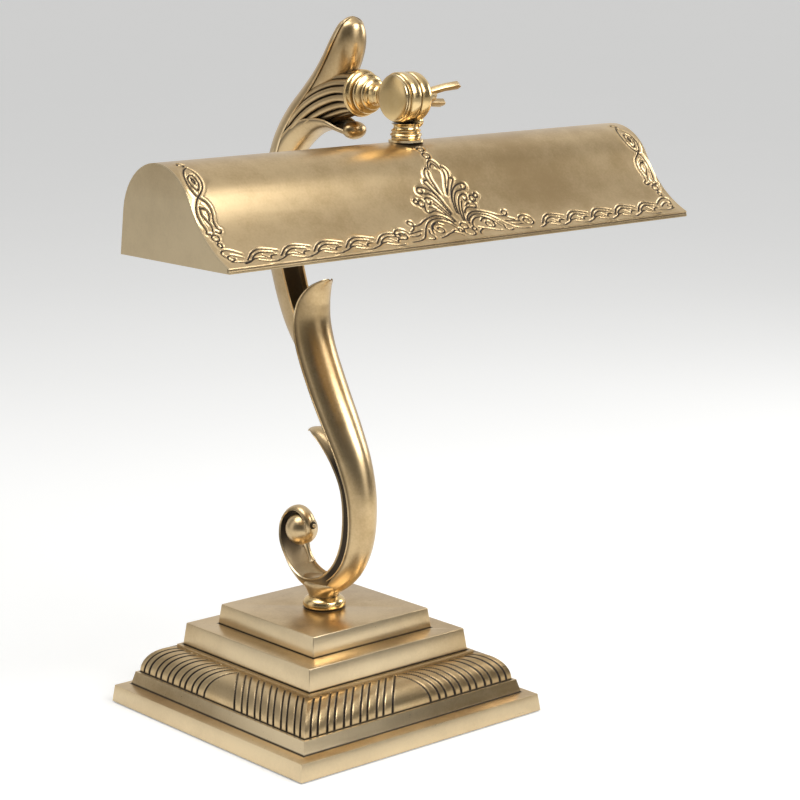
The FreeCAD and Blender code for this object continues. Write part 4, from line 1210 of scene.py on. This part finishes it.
    def build(self, nodes: dict[str, bpy.types.Object], brass: bpy.types.Material) -> None:
        """Make the base's visible pieces and dress them.

        Args:
            nodes: The CAD nodes by name.
            brass: The brass of the base.
        """
        course = self.course_tree().grow(self.course_blank(), "gadroons", brass)
        self.close_course(course)
        finished(course, "gadrooned_course", Body.STAND, angle=50.0)
        for name in ("base_plinth", "middle_step", "top_step"):
            piece = softened(nodes[name], name.replace("base_", "") + "_rounded", self.edge)
            finished(piece, name, Body.STAND, brass)


# The scrolled arm and its flower


@dataclass(frozen=True)
class Leaf:
    """A cast leaf: sections square to a curved line in the middle plane, with raised edges.

    Each row holds the line's y and its height above the base, then the leaf's half width, the depth
    of its outer face, the crown of its inner face, how far its edges stand forward, and the share of
    painted shade on the outer and on the inner face.
    """

    name: str
    rows: tuple[Row, ...]
    side: float
    belly: float = 0.5
    flange: float = 0.93
    lip: float = 0.45
    crease: float = 0.85
    crease_width: float = 0.03
    edge: float = 1.5
    edge_drop: float = 0.5
    around: int = 32
    finer: int = 7

    def section(self, row: Row) -> list[Point3]:
        """One section's points as place across, place along the outward normal, and painted shade."""
        half, depth, crown, forward, dark_out, dark_in = row[2:]
        points = []
        for k in range(self.around + 1):
            across = -math.cos(math.pi * k / self.around)
            share = min(abs(across) / self.flange, 1.0)
            rise = (forward + depth) * (1.0 - share * share) ** self.belly - forward
            if abs(across) > self.flange:
                bend = (2.0 * abs(across) - 1.0 - self.flange) / (1.0 - self.flange)
                rise += self.lip * math.sqrt(max(0.0, 1.0 - bend * bend))
            # Painted shade: a dark line along the crease beside each raised edge.
            crease = self.crease * max(0.0, 1.0 - abs(abs(across) - self.flange) / self.crease_width)
            points.append((half * across, rise, max(dark_out * (abs(across) < self.flange), crease)))
        inner = half - min(self.edge, half * 0.3)
        points.append((0.5 * (half + inner), -forward - self.edge_drop, 0.0))
        for k in range(self.around + 1):
            across = math.cos(math.pi * k / self.around)
            fall = (forward - crown) * math.sqrt(max(0.0, 1.0 - across * across)) - forward
            points.append((inner * across, fall, dark_in * (0.15 + 0.85 * (abs(across) < 0.97))))
        points.append((-0.5 * (half + inner), -forward - self.edge_drop, 0.0))
        return points

    def build(self) -> bpy.types.Object:
        """Make the leaf as one closed mesh.

        Returns:
            The leaf, with its patina stored on its points.
        """
        rows = flowing(self.rows, self.finer)
        points, values, faces = [], [], []
        count = 0
        for k, row in enumerate(rows):
            before, after = rows[max(k - 1, 0)], rows[min(k + 1, len(rows) - 1)]
            run = Vector((after[0] - before[0], after[1] - before[1])).normalized()
            normal = Vector((-run.y, run.x)) * self.side
            section = self.section(row)
            count = len(section)
            for across, out, dark in section:
                points.append((across, row[0] + normal.x * out, BASE_TOP + row[1] + normal.y * out))
                values.append(dark)
        for k in range(len(rows) - 1):
            for j in range(count):
                a, b = k * count + j, k * count + (j + 1) % count
                faces.append([a, b, b + count, a + count])
        for first in (0, (len(rows) - 1) * count):
            middle = len(points)
            ring = [points[first + j] for j in range(count)]
            points.append(tuple(sum(p[i] for p in ring) / count for i in range(3)))
            values.append(0.0)
            faces.extend([first + j, first + (j + 1) % count, middle] for j in range(count))
        piece = mesh_of(self.name, points, faces)
        mark(piece, values)
        outward(piece)
        return piece


def ball(name: str, centre: Sequence[float], radii: Sequence[float], dark: float = 0.0) -> bpy.types.Object:
    """Make a round ball or egg at a place, with one even share of painted shade."""
    steps = 24
    outline = [(math.sin(math.pi * k / steps) if 0 < k < steps else 0.0, -math.cos(math.pi * k / steps))
               for k in range(steps + 1)]
    piece = turned(name, outline, 48)
    for vert in piece.data.vertices:
        vert.co = Vector([(c + r * v / MM) * MM for c, r, v in zip(centre, radii, vert.co)])
    mark(piece, [dark] * len(piece.data.vertices))
    return piece


@dataclass
class ScrollArm:
    """Two scrolled leaves from the foot to the flower, the ball in the scroll, and the collar below."""

    collar_radius: float = 14.0
    collar_height: float = 8.0
    neck: float = 10.0
    bore: float = 5.3
    hood_centre: Point2 = (24.6, 49.2)
    hood_line: float = 11.6
    hood_full: float = 4.8
    ball_centre: Point2 = (22.8, 47.6)
    ball_radius: float = 10.7

    def front_leaf(self) -> Leaf:
        """The long leaf on the shade's side, from the foot to its free tip."""
        return Leaf("front_leaf", (
            (-5.0, 17.5, 8.6, 8.4, 0.4, 0.3, 0.0, 0.5), (-14.5, 22.0, 9.2, 8.6, 0.4, 0.3, 0.0, 0.5),
            (-24.0, 29.7, 9.6, 9.0, 0.4, 0.3, 0.0, 0.5), (-31.0, 39.0, 10.0, 9.4, 0.4, 0.3, 0.0, 0.5),
            (-36.3, 52.5, 10.5, 9.9, 0.4, 0.3, 0.0, 0.5), (-38.0, 68.0, 11.0, 10.4, 0.4, 0.3, 0.0, 0.5),
            (-36.3, 84.5, 11.8, 11.2, 0.4, 0.3, 0.0, 0.5), (-30.0, 101.8, 13.2, 12.3, 0.4, 0.3, 0.0, 0.5),
            (-19.2, 121.4, 14.6, 12.8, -3.0, 0.3, 0.0, 0.5), (-7.2, 141.6, 15.2, 13.2, -8.0, 0.3, 0.0, 0.5),
            (3.8, 162.0, 15.2, 13.6, -10.0, 0.3, 0.0, 0.5), (9.3, 176.5, 15.1, 13.4, -10.4, 0.3, 0.0, 0.4),
            (11.0, 189.0, 14.6, 12.4, -9.6, 0.3, 0.0, 0.3), (8.4, 201.0, 13.2, 10.4, -7.8, 0.3, 0.0, 0.3),
            (2.2, 210.0, 10.2, 6.6, -4.6, 0.3, 0.0, 0.2), (-4.6, 214.6, 5.6, 2.8, -1.6, 0.3, 0.0, 0.1),
            (-8.6, 216.0, 1.6, 0.9, -0.3, 0.3, 0.0, 0.0)), 1.0, belly=0.62)

    def scroll_leaf(self) -> Leaf:
        """The leaf behind, from its free hook down the arm's back, round the foot and over the ball."""
        # The last two columns are painted shade: the outer face where the front leaf shades it, and the
        # hood's inner face round the ball.
        rows: list[Row] = [
            (13.6, 115.4, 1.4, 0.8, 0.3, 0.3, 0.0, 0.0), (9.0, 116.6, 4.0, 1.8, 0.6, 0.3, 0.0, 0.0),
            (1.5, 115.6, 7.4, 3.8, 0.9, 0.4, 0.0, 0.0), (-8.5, 110.4, 9.0, 6.2, 1.0, 0.5, 0.3, 0.0),
            (-20.0, 100.2, 9.8, 8.4, 0.6, 0.7, 0.95, 0.1), (-28.8, 86.4, 10.0, 8.6, -0.6, 0.8, 0.95, 0.25),
            (-31.6, 70.0, 10.0, 8.6, -1.6, 0.8, 0.95, 0.3), (-30.0, 51.5, 10.2, 9.0, -2.0, 0.8, 0.95, 0.35),
            (-23.5, 36.2, 10.4, 9.4, -2.2, 0.8, 0.95, 0.4), (-12.5, 24.8, 10.6, 9.6, -2.2, 0.8, 0.9, 0.3),
            (-1.0, 19.6, 10.8, 9.4, -2.0, 0.8, 0.2, 0.2), (10.5, 18.4, 10.8, 8.6, -1.8, 0.8, 0.0, 0.25),
            (21.0, 22.4, 10.6, 6.6, -1.4, 0.8, 0.0, 0.4), (29.6, 30.4, 10.2, 4.6, -0.8, 0.7, 0.0, 0.65),
            (34.8, 39.6, 9.8, 3.2, -0.2, 0.6, 0.0, 0.9)]
        hood = ((0.0, 8.4), (30.0, 6.8), (60.0, 5.6), (90.0, 4.8), (120.0, 4.6), (150.0, 4.6), (180.0, 4.4),
                (205.0, 3.4), (224.0, 1.4))
        for angle, half in hood:
            turn = math.radians(angle)
            fade = min(1.0, half / self.hood_full)
            rows.append((self.hood_centre[0] + self.hood_line * math.cos(turn),
                         self.hood_centre[1] + self.hood_line * math.sin(turn),
                         half, 2.4 * fade, 0.2 * fade, 0.5, 0.0, 0.95))
        return Leaf("scroll_leaf", tuple(rows), -1.0, lip=0.3)

    def foot(self, steps: int = 56) -> bpy.types.Object:
        """The keel-shaped cup that spreads from the round neck to the bottoms of both leaves."""
        top = BASE_TOP + self.collar_height
        levels = flowing(((0.0, 9.9, 9.9), (1.4, 10.0, 10.6), (3.4, 10.3, 12.8), (5.6, 10.5, 16.0),
                          (7.6, 10.5, 19.0), (9.4, 9.9, 21.0), (10.6, 7.0, 17.0)), 3)
        points = [(wide * math.cos(2 * math.pi * k / steps), 0.5 + deep * math.sin(2 * math.pi * k / steps),
                   top + rise) for rise, wide, deep in levels for k in range(steps)]
        faces = [[j * steps + k, j * steps + (k + 1) % steps, (j + 1) * steps + (k + 1) % steps,
                  (j + 1) * steps + k] for j in range(len(levels) - 1) for k in range(steps)]
        for level, first in ((top, 0), (top + levels[-1][0] + 0.3, (len(levels) - 1) * steps)):
            middle = len(points)
            points.append((0.0, 0.5, level))
            faces.extend([first + k, first + (k + 1) % steps, middle] for k in range(steps))
        piece = mesh_of("foot", points, faces)
        outward(piece)
        return piece

    def pillar(self) -> bpy.types.Object:
        """The slim stay between the scroll's inner face and the ball."""
        start, end = Vector((12.0, 27.5)), Vector((18.6, 39.4))
        lean = end - start
        angle = math.atan2(-lean.x, lean.y)
        piece = turned("pillar", ((0.0, 0.0), (2.6, 0.0), (1.9, 2.0), (1.5, 5.0), (1.6, 9.0), (2.4, 12.6),
                                  (0.0, 13.6)), 20)
        return moved(piece, (0.0, start.x, start.y + BASE_TOP), angle)

    def build(self, brass: bpy.types.Material, polished: bpy.types.Material) -> None:
        """Make the lower casting and the collar.

        Args:
            brass: The satin brass of the castings.
            polished: The brighter brass of the collar.
        """
        y, z = self.ball_centre
        eye_y = self.hood_centre[0] - self.hood_line - 2.2
        eye_z = BASE_TOP + self.hood_centre[1] + 2.8
        pieces = [
            self.front_leaf().build(), self.scroll_leaf().build(), self.foot(), self.pillar(),
            ball("scroll_ball", (0.0, y, BASE_TOP + z), (self.ball_radius,) * 3),
            # The eye seat carries painted shade round the eye.
            ball("eye_seat", (0.0, eye_y, eye_z), (2.5, 1.0, 2.5), 0.95),
            ball("eye", (0.0, eye_y - 0.7, eye_z), (1.3,) * 3)]
        arm = united("scrolled_arm", pieces)
        finished(arm, "lower_arm", Body.STAND, brass, 42.0)
        rim, neck, high = self.collar_radius, self.neck, self.collar_height
        collar = turned("collar_turned", (
            (self.bore, 0.0), (rim - 1.8, 0.0), (rim - 0.7, 0.6), (rim - 0.1, 1.8), (rim, 3.2),
            (rim - 0.3, 4.6), (rim - 1.2, 6.0), (rim - 2.6, 7.0), (neck + 0.6, 7.4), (neck, high - 0.1),
            (self.bore, high - 0.1)))
        moved(collar, (0.0, 0.0, BASE_TOP))
        finished(collar, "arm_collar", Body.STAND, polished, 40.0)


@dataclass
class Flower:
    """The upper leaf, the fluted horn in it, the petal below and the stepped ring at the mouth."""

    flutes: int = 16
    flute_depth: float = 0.24
    net_rows: int = 60
    flute_columns: int = 12
    horn: tuple[Point3, ...] = (
        (41.0, 283.0, 4.5), (35.0, 293.0, 7.6), (27.0, 303.0, 10.0), (17.0, 312.0, 12.0), (6.0, 320.0, 13.4),
        (-6.0, 326.6, 14.4), (-18.0, 331.4, 14.6), (-29.0, 334.2, 14.2), (-38.6, 334.9, 13.4))

    def sheath(self) -> Leaf:
        """The deep gutter that climbs from the arm's back and ends as the thumb over the flower."""
        # The last two columns are painted shade, strongest inside the open gutter.
        return Leaf("sheath", (
            (-27.4, 108.0, 4.6, 2.4, 6.4, 0.3, 0.0, 0.0), (-19.6, 124.5, 6.0, 4.4, 7.4, 0.3, 0.4, 0.0),
            (-9.8, 141.0, 7.8, 6.4, 6.0, 0.5, 0.3, 0.5), (1.0, 156.0, 9.0, 7.8, 0.0, 2.0, 0.2, 0.9),
            (13.4, 170.6, 9.2, 8.8, -4.0, 7.0, 0.0, 0.8), (24.2, 184.0, 9.2, 9.2, -6.0, 9.5, 0.0, 0.8),
            (32.2, 199.0, 9.2, 9.4, -6.6, 10.0, 0.0, 0.8), (38.8, 217.0, 9.4, 9.4, -6.6, 10.0, 0.0, 0.8),
            (44.2, 237.0, 9.8, 9.4, -6.6, 9.5, 0.0, 0.8), (46.0, 256.0, 10.4, 9.2, -6.4, 8.5, 0.0, 0.8),
            (42.8, 275.0, 11.2, 8.8, -5.6, 7.0, 0.0, 0.85), (36.8, 292.0, 12.0, 8.6, -4.6, 5.5, 0.0, 0.9),
            (28.0, 306.0, 12.6, 9.0, -3.0, 3.5, 0.0, 0.9), (16.0, 318.8, 13.0, 9.4, 0.0, 2.0, 0.0, 0.8),
            (2.0, 331.0, 13.0, 9.4, 6.0, 1.0, 0.0, 0.4), (-10.3, 343.0, 13.2, 8.8, 13.4, 0.4, 0.0, 0.0),
            (-19.8, 355.0, 13.2, 8.0, 15.0, 0.3, 0.0, 0.0), (-26.8, 366.4, 12.6, 7.0, 13.0, 0.3, 0.0, 0.0),
            (-30.8, 375.4, 9.8, 5.4, 9.0, 0.3, 0.0, 0.0), (-32.0, 379.4, 5.4, 3.0, 4.6, 0.3, 0.0, 0.0),
            (-32.5, 380.9, 1.2, 0.7, 0.9, 0.2, 0.0, 0.0)), -1.0, lip=0.0, crease=0.0, flange=1.0)

    def petal(self) -> Leaf:
        """The petal under the flower, which ends in a rolled lip."""
        # The last two columns are painted shade on the petal's faces.
        return Leaf("petal", (
            (49.0, 250.0, 3.0, 2.0, 1.0, 0.3, 0.0, 0.0), (47.6, 262.0, 7.0, 4.4, 1.0, 0.6, 0.0, 0.4),
            (43.0, 276.0, 10.0, 7.4, -1.0, 1.2, 0.0, 0.6), (34.0, 291.0, 11.8, 9.4, -3.0, 1.6, 0.0, 0.6),
            (23.0, 303.4, 12.4, 10.0, -4.0, 1.8, 0.0, 0.6), (10.5, 312.2, 12.6, 9.6, -4.0, 1.6, 0.0, 0.55),
            (-2.0, 316.2, 12.6, 8.0, -3.4, 1.2, 0.0, 0.45), (-15.4, 316.6, 12.0, 6.0, -2.4, 0.8, 0.0, 0.3),
            (-25.6, 313.4, 10.0, 4.4, -1.4, 0.5, 0.0, 0.2), (-32.6, 310.8, 7.4, 3.4, -0.6, 0.3, 0.0, 0.1)),
            1.0, lip=0.35)

    def horn_line(self) -> bpy.types.Object:
        """The horn's middle line, with its radius on each point."""
        line = [(0.0, y, BASE_TOP + z, radius) for y, z, radius in flowing(self.horn, 6)]
        return drawn("horn_line", [line])

    def horn_tree(self) -> GeometryTree:
        """Write the tree that wraps a flat net round the horn's line and cuts its flutes.

        Returns:
            The tree, ready to run on the net.
        """
        tree = GeometryTree("fluted_horn", {"Flutes": float(self.flutes), "Flute depth": self.flute_depth},
                            ["Line"])
        line = tree.node("GeometryNodeObjectInfo", {"transform_space": "ORIGINAL"},
                         {"Object": tree.entry.outputs["Line"]})
        here = tree.node("GeometryNodeInputPosition").outputs[0]
        u, v, _ = tree.parts(here)
        thick = tree.node("GeometryNodeInputRadius").outputs[0]
        found = tree.node("GeometryNodeSampleCurve", {"mode": "FACTOR"},
                          {"Curves": line.outputs["Geometry"], "Value": thick, "Factor": v.held(0.0, 1.0)})
        _, y, z = tree.parts(found.outputs["Position"])
        _, run_y, run_z = tree.parts(found.outputs["Tangent"])
        spread = abs((u * tree.size("Flutes")) % 1.0 * 2.0 - 1.0)
        sunk = 1.0 - (1.0 - spread * spread).held(0.0, 1.0).math("SQRT")
        fade = v.rise(0.02, 0.2) * (1.0 - v.rise(0.93, 1.0) * 0.7)
        radius = tree.term(found.outputs["Value"]) * MM * (1.0 - sunk * fade * tree.size("Flute depth"))
        turn = u * (2.0 * math.pi)
        across, up = radius * turn.math("SINE"), radius * turn.math("COSINE")
        # Painted shade in the bottoms of the flutes.
        dark = sunk.rise(0.12, 0.5) * 0.95
        place = tree.vector(across, y - up * run_z, z + up * run_y)
        tree.close(tree.welded(tree.shaped(dark, place), 0.01))
        return tree

    def horn_piece(self, brass: bpy.types.Material) -> bpy.types.Object:
        """Make the closed fluted horn."""
        columns, rows = self.flutes * self.flute_columns, self.net_rows
        points = [(1000.0 * i / columns, 1000.0 * j / rows, 0.0)
                  for j in range(rows + 1) for i in range(columns + 1)]
        faces = [[a, a + 1, a + columns + 2, a + columns + 1]
                 for a in (j * (columns + 1) + i for j in range(rows) for i in range(columns))]
        net = mesh_of("horn_net", points, faces)
        piece = self.horn_tree().grow(net, "horn", brass, {"Line": self.horn_line()})
        with edited(piece) as work:
            bmesh.ops.holes_fill(work, edges=[edge for edge in work.edges if edge.is_boundary], sides=0)
            bmesh.ops.triangulate(work, faces=[face for face in work.faces if len(face.verts) > 4])
            bmesh.ops.recalc_face_normals(work, faces=work.faces)
        return piece

    def build(self, brass: bpy.types.Material, polished: bpy.types.Material) -> None:
        """Make the upper casting and the ring.

        Args:
            brass: The satin brass of the castings.
            polished: The brighter brass of the ring.
        """
        lip = ball("rolled_lip", (0.0, -33.2, BASE_TOP + 311.8), (8.2, 6.0, 5.6))
        pieces = [self.sheath().build(), self.petal().build(), self.horn_piece(brass), lip]
        flower = united("flower_and_sheath", pieces)
        finished(flower, "upper_arm", Body.STAND, brass, 42.0)
        ring = turned("calyx_turned", (
            (0.0, 38.0), (12.4, 38.0), (13.8, 38.6), (14.5, 39.8), (14.5, 41.4), (13.8, 42.8), (12.2, 43.6),
            (10.6, 43.9), (10.4, 44.6), (11.6, 45.2), (12.3, 46.2), (12.2, 47.4), (11.2, 48.2), (8.6, 48.6),
            (8.2, 49.4), (9.2, 50.0), (9.7, 51.0), (9.4, 52.2), (8.2, 52.8), (6.8, 53.2), (6.4, 54.6),
            (6.4, 57.9), (0.0, 57.9)), 96)
        # Painted shade in the ring's two grooves.
        mark(ring, [0.9 * max(0.0, 1.0 - abs(vert.co.z / MM - 44.2) / 0.7,
                              1.0 - abs(vert.co.z / MM - 49.0) / 0.8) for vert in ring.data.vertices])
        moved(ring, (0.0, 0.0, TILT_AXIS_HEIGHT), math.pi / 2)
        finished(ring, "calyx_ring", Body.STAND, polished, 60.0)


# The knuckle between arm and shade


@dataclass
class Knuckle:
    """Two round halves on one bolt, with a domed cap, the shade's stem below and the wing nut."""

    axis_y: float = -81.2
    radius: float = 15.1
    bore: float = 5.4
    stem_foot: float = 380.8
    neck_end: float = 65.4

    def about_axis(self, piece: bpy.types.Object) -> bpy.types.Object:
        """Lay a turned piece along +X on the tilt axis."""
        return moved(piece, (0.0, self.axis_y, TILT_AXIS_HEIGHT), math.pi / 2, "Y")

    def arm_half(self) -> bpy.types.Object:
        """The half on the arm: a grooved drum and the neck that joins it to the flower's ring."""
        r = self.radius
        drum = turned("drum", (
            (self.bore, -9.6), (13.4, -9.6), (14.0, -9.3), (14.2, -8.8), (13.5, -8.3), (13.5, -7.8),
            (14.6, -7.4), (r, -6.8), (r, -1.0), (r - 0.25, -0.6), (r - 0.7, -0.4), (self.bore, -0.4)), 96)
        # Painted shade in the groove next to the cap.
        mark(drum, [0.9 * max(0.0, 1.0 - abs(v.co.z / MM + 8.05) / 0.6) for v in drum.data.vertices])
        self.about_axis(drum)
        neck = turned("neck", (
            (0.0, 56.0), (6.3, 56.0), (6.2, 58.4), (5.6, 59.2), (5.5, 60.4), (6.0, 61.8),
            (6.1, self.neck_end), (0.0, self.neck_end)), 64)
        moved(neck, (0.0, 0.0, TILT_AXIS_HEIGHT), math.pi / 2)
        root = ball("root", (-4.9, -67.0, TILT_AXIS_HEIGHT), (4.2, 6.0, 7.0))
        return united("knuckle_arm_drum", [drum, neck, root])

    def shade_half(self) -> bpy.types.Object:
        """The half on the shade: a round-shouldered drum on a stepped stem."""
        r = self.radius
        drum = turned("drum", (
            (self.bore, 0.5), (r - 0.7, 0.5), (r - 0.2, 0.8), (r, 1.3), (r, 5.6), (r - 0.5, 7.4),
            (r - 1.6, 8.9), (r - 3.4, 10.0), (r - 5.6, 10.7), (r - 7.8, 11.0), (self.bore, 11.0)), 96)
        self.about_axis(drum)
        stem = turned("stem", (
            (5.3, 0.0), (9.3, 0.0), (9.7, 0.7), (9.3, 1.5), (8.5, 1.8), (8.4, 2.4), (9.0, 2.9), (9.0, 3.5),
            (8.0, 4.1), (7.3, 5.2), (7.6, 6.2), (8.5, 7.0), (8.8, 7.4), (5.3, 7.4)))
        mark(stem, [0.95 * max(0.0, 1.0 - abs(v.co.x / MM) / 0.9) * (v.co.z > 2.0 * MM)
                    for v in stem.data.vertices])
        moved(stem, (0.0, self.axis_y, self.stem_foot))
        root = ball("root", (5.6, self.axis_y, 389.2), (4.4, 8.2, 4.6))
        return united("knuckle_shade_drum", [drum, stem, root])

    def cap(self) -> bpy.types.Object:
        """The bright domed cap on the left end."""
        piece = turned("knuckle_cap_domed", (
            (0.0, -9.7), (12.6, -9.7), (13.3, -10.0), (13.2, -10.5), (12.2, -11.0), (9.0, -11.5),
            (5.0, -11.8), (0.0, -11.9)), 96)
        return self.about_axis(piece)

    def build(self, nodes: dict[str, bpy.types.Object], brass: bpy.types.Material,
              polished: bpy.types.Material) -> None:
        """Make the knuckle's pieces.

        Args:
            nodes: The CAD nodes by name.
            brass: The satin brass.
            polished: The brighter brass.
        """
        wing = softened(nodes["wing_nut"], "wing_nut_rounded", 0.6)
        for piece, finish, body, node, slot in (
                (self.arm_half(), polished, Body.STAND, "knuckle_arm_half", Slot.ANTIQUE),
                (self.shade_half(), polished, Body.SHADE, "knuckle_shade_half", Slot.ANTIQUE),
                (self.cap(), polished, Body.STAND, "knuckle_cap", Slot.POLISHED),
                (wing, brass, Body.WING, "wing_nut", Slot.ANTIQUE)):
            finished(piece, node, body, finish, 50.0)


# Fittings that keep their CAD shape


def dress(nodes: dict[str, bpy.types.Object], names: Iterable[str], finish: bpy.types.Material) -> None:
    """Give CAD nodes a finish.

    Args:
        nodes: The CAD nodes by name.
        names: The nodes to dress.
        finish: Their material.
    """
    for name in names:
        for slot in nodes[name].material_slots:
            slot.material = finish


# The studio


@dataclass
class Studio:
    """Pale floor, soft lights and the camera."""

    camera_place: Point3 = (-932.9, -1147.2, 518.1)
    right: Point3 = (0.75428, -0.65655, 0.0)
    back: Point3 = (-0.64237, -0.73799, 0.20669)
    roll: float = -0.0731
    focal_pixels: float = 2360.46
    frame_pixels: float = 800.0
    floor_size: float = 60000.0
    floor_glow: float = 0.26
    far_wall: float = 0.72
    near_wall: float = 0.08
    far_way: Point2 = (0.66, 0.75)
    panel_count: float = 3.0
    panel_turn: float = -1.57
    strip: float = 0.75
    ceiling: float = 0.8
    ambient: float = 0.4
    target: Point3 = (0.0, -40.0, 200.0)

    def camera(self) -> None:
        """Set the camera at the photograph's place and angle."""
        data = bpy.data.cameras.new("camera")
        data.sensor_width = 36.0
        data.sensor_fit = "HORIZONTAL"
        data.lens = self.focal_pixels / self.frame_pixels * data.sensor_width
        data.clip_start = 0.05
        data.clip_end = 100.0
        camera = placed("camera", data)
        right = Vector(self.right).normalized()
        back = Vector(self.back).normalized()
        up = back.cross(right).normalized()
        turn = Matrix((right, up, back)).transposed().to_4x4()
        turn = turn @ Matrix.Rotation(math.radians(self.roll), 4, "Z")
        camera.matrix_world = Matrix.Translation(Vector(self.camera_place) * MM) @ turn
        bpy.context.scene.camera = camera

    def light(self, name: str, place: Sequence[float], size: float, power: float) -> None:
        """Add one soft square light at a place in millimetres, which looks at the lamp."""
        data = bpy.data.lights.new(name, "AREA")
        data.shape = "SQUARE"
        data.size = size * MM
        data.energy = power
        lamp = placed(name, data)
        lamp.location = Vector(place) * MM
        lamp.rotation_euler = (Vector(self.target) - Vector(place)).to_track_quat("-Z", "Y").to_euler()

    def world(self) -> None:
        """Light the room evenly, show it white to the camera, and let metal mirror its soft panels."""
        world = bpy.data.worlds.new("room")
        bpy.context.scene.world = world
        world.use_nodes = True
        graph = Graph(world.node_tree)
        graph.tree.nodes.clear()
        way = graph.node("ShaderNodeTexCoord").outputs["Generated"]
        x, y, z = graph.parts(way)
        behind = (x * self.far_way[0] + y * self.far_way[1]).rise(0.0, 0.85)
        azimuth = y.math("ARCTAN2", x)
        panels = (azimuth * self.panel_count + self.panel_turn).math("COSINE").rise(0.35, 1.0)
        overhead = z.rise(0.55, 0.95)
        room = self.near_wall + behind * (self.far_wall - self.near_wall)
        room = room + panels * (1.0 - behind) * self.strip * z.rise(-0.4, 0.1) * (1.0 - overhead)
        room = room.most(overhead * self.ceiling)
        path = graph.node("ShaderNodeLightPath")
        seen = graph.term(path.outputs["Is Camera Ray"])
        mirrored = graph.term(path.outputs["Is Glossy Ray"]).most(
            graph.term(path.outputs["Is Transmission Ray"]))
        strength = seen.most(mirrored * room).most((1.0 - mirrored) * self.ambient)
        ground = graph.node("ShaderNodeBackground", None, {"Color": (1.0, 1.0, 1.0), "Strength": strength})
        graph.node("ShaderNodeOutputWorld", None, {"Surface": ground.outputs[0]})

    def floor(self) -> None:
        """Lay a pale floor that keeps the lamp's shadow."""
        half = self.floor_size / 2
        corners = [(-half, -half, 0.0), (half, -half, 0.0), (half, half, 0.0), (-half, half, 0.0)]
        plane = mesh_of("floor", corners, [[0, 1, 2, 3]])
        tree = ShaderTree("pale_floor")
        path = tree.node("ShaderNodeLightPath")
        seen = tree.term(path.outputs["Is Camera Ray"]).most(
            tree.term(path.outputs["Is Glossy Ray"]) * 0.2).most(
            tree.term(path.outputs["Is Transmission Ray"]) * 0.6)
        glow = seen * self.floor_glow
        tree.set(Base_Color=tree.mix(linear(240, 240, 238), linear(236, 236, 234), tree.noise(3.0)),
                 Emission_Color=tree.vector(glow, glow, glow), Emission_Strength=1.0, Roughness=0.85)
        plane.data.materials.append(tree.material)

    def build(self) -> None:
        """Make the whole studio."""
        self.camera()
        self.world()
        self.floor()
        bpy.context.scene.view_settings.view_transform = "Standard"
        self.light("key", (250.0, -1150.0, 1250.0), 800.0, 15.0)
        self.light("top", (-500.0, 250.0, 1600.0), 900.0, 9.0)
        self.light("side", (1300.0, -300.0, 700.0), 500.0, 4.0)


def main() -> None:
    """Build the whole lamp and its studio, piece by piece."""
    logging.basicConfig(level=logging.INFO, format="%(name)s: %(message)s")
    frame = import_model()
    nodes = frame["nodes"]
    antique = Brass("antique_brass_satin").build()
    shade_brass = Brass("antique_brass_shade", brush=(40.0, 600.0, 600.0), grain=0.03).build()
    base_brass = Brass("antique_brass_steps", lines=(
        (90.9, 13.0), (86.5, 21.4), (66.1, 41.0), (49.4, 55.6))).build()
    polished = Brass("polished_brass_bright", light=linear(244, 214, 156), deep=linear(228, 192, 132),
                     rough=0.2, grain=0.04).build()
    steel = Plain("zinc_steel", linear(188, 190, 192), linear(160, 163, 168), 0.35, 1.0).build()
    felt = Plain("green_felt", linear(34, 62, 44), linear(24, 48, 34), 0.95, scale=900.0, bump=0.2).build()
    porcelain = Plain("glazed_porcelain", linear(236, 234, 226), linear(228, 225, 216), 0.2,
                      scale=60.0, coat=0.6).build()
    rubber = Plain("black_bush", linear(28, 28, 28), linear(20, 20, 20), 0.5).build()
    glass = FrostedGlass("frosted_glass").build()
    slots = {Slot.ANTIQUE: antique, Slot.POLISHED: polished, Slot.STEEL: steel, Slot.FELT: felt,
             Slot.PORCELAIN: porcelain, Slot.BUSH: rubber, Slot.GLASS: glass}
    for slot, finish in slots.items():
        names = [name for name, node in nodes.items()
                 if any(s.material and s.material.name.split(".")[0] == slot.value
                        for s in node.material_slots)]
        dress(nodes, names, finish)
        LOG.info("%s on %d nodes", finish.name, len(names))
    SteppedBase().build(nodes, base_brass)
    OgeeShade().build(nodes, shade_brass, antique)
    ScrollArm().build(antique, polished)
    Flower().build(antique, polished)
    Knuckle().build(nodes, antique, polished)
    Studio().build()


if __name__ == "__main__":
    main()
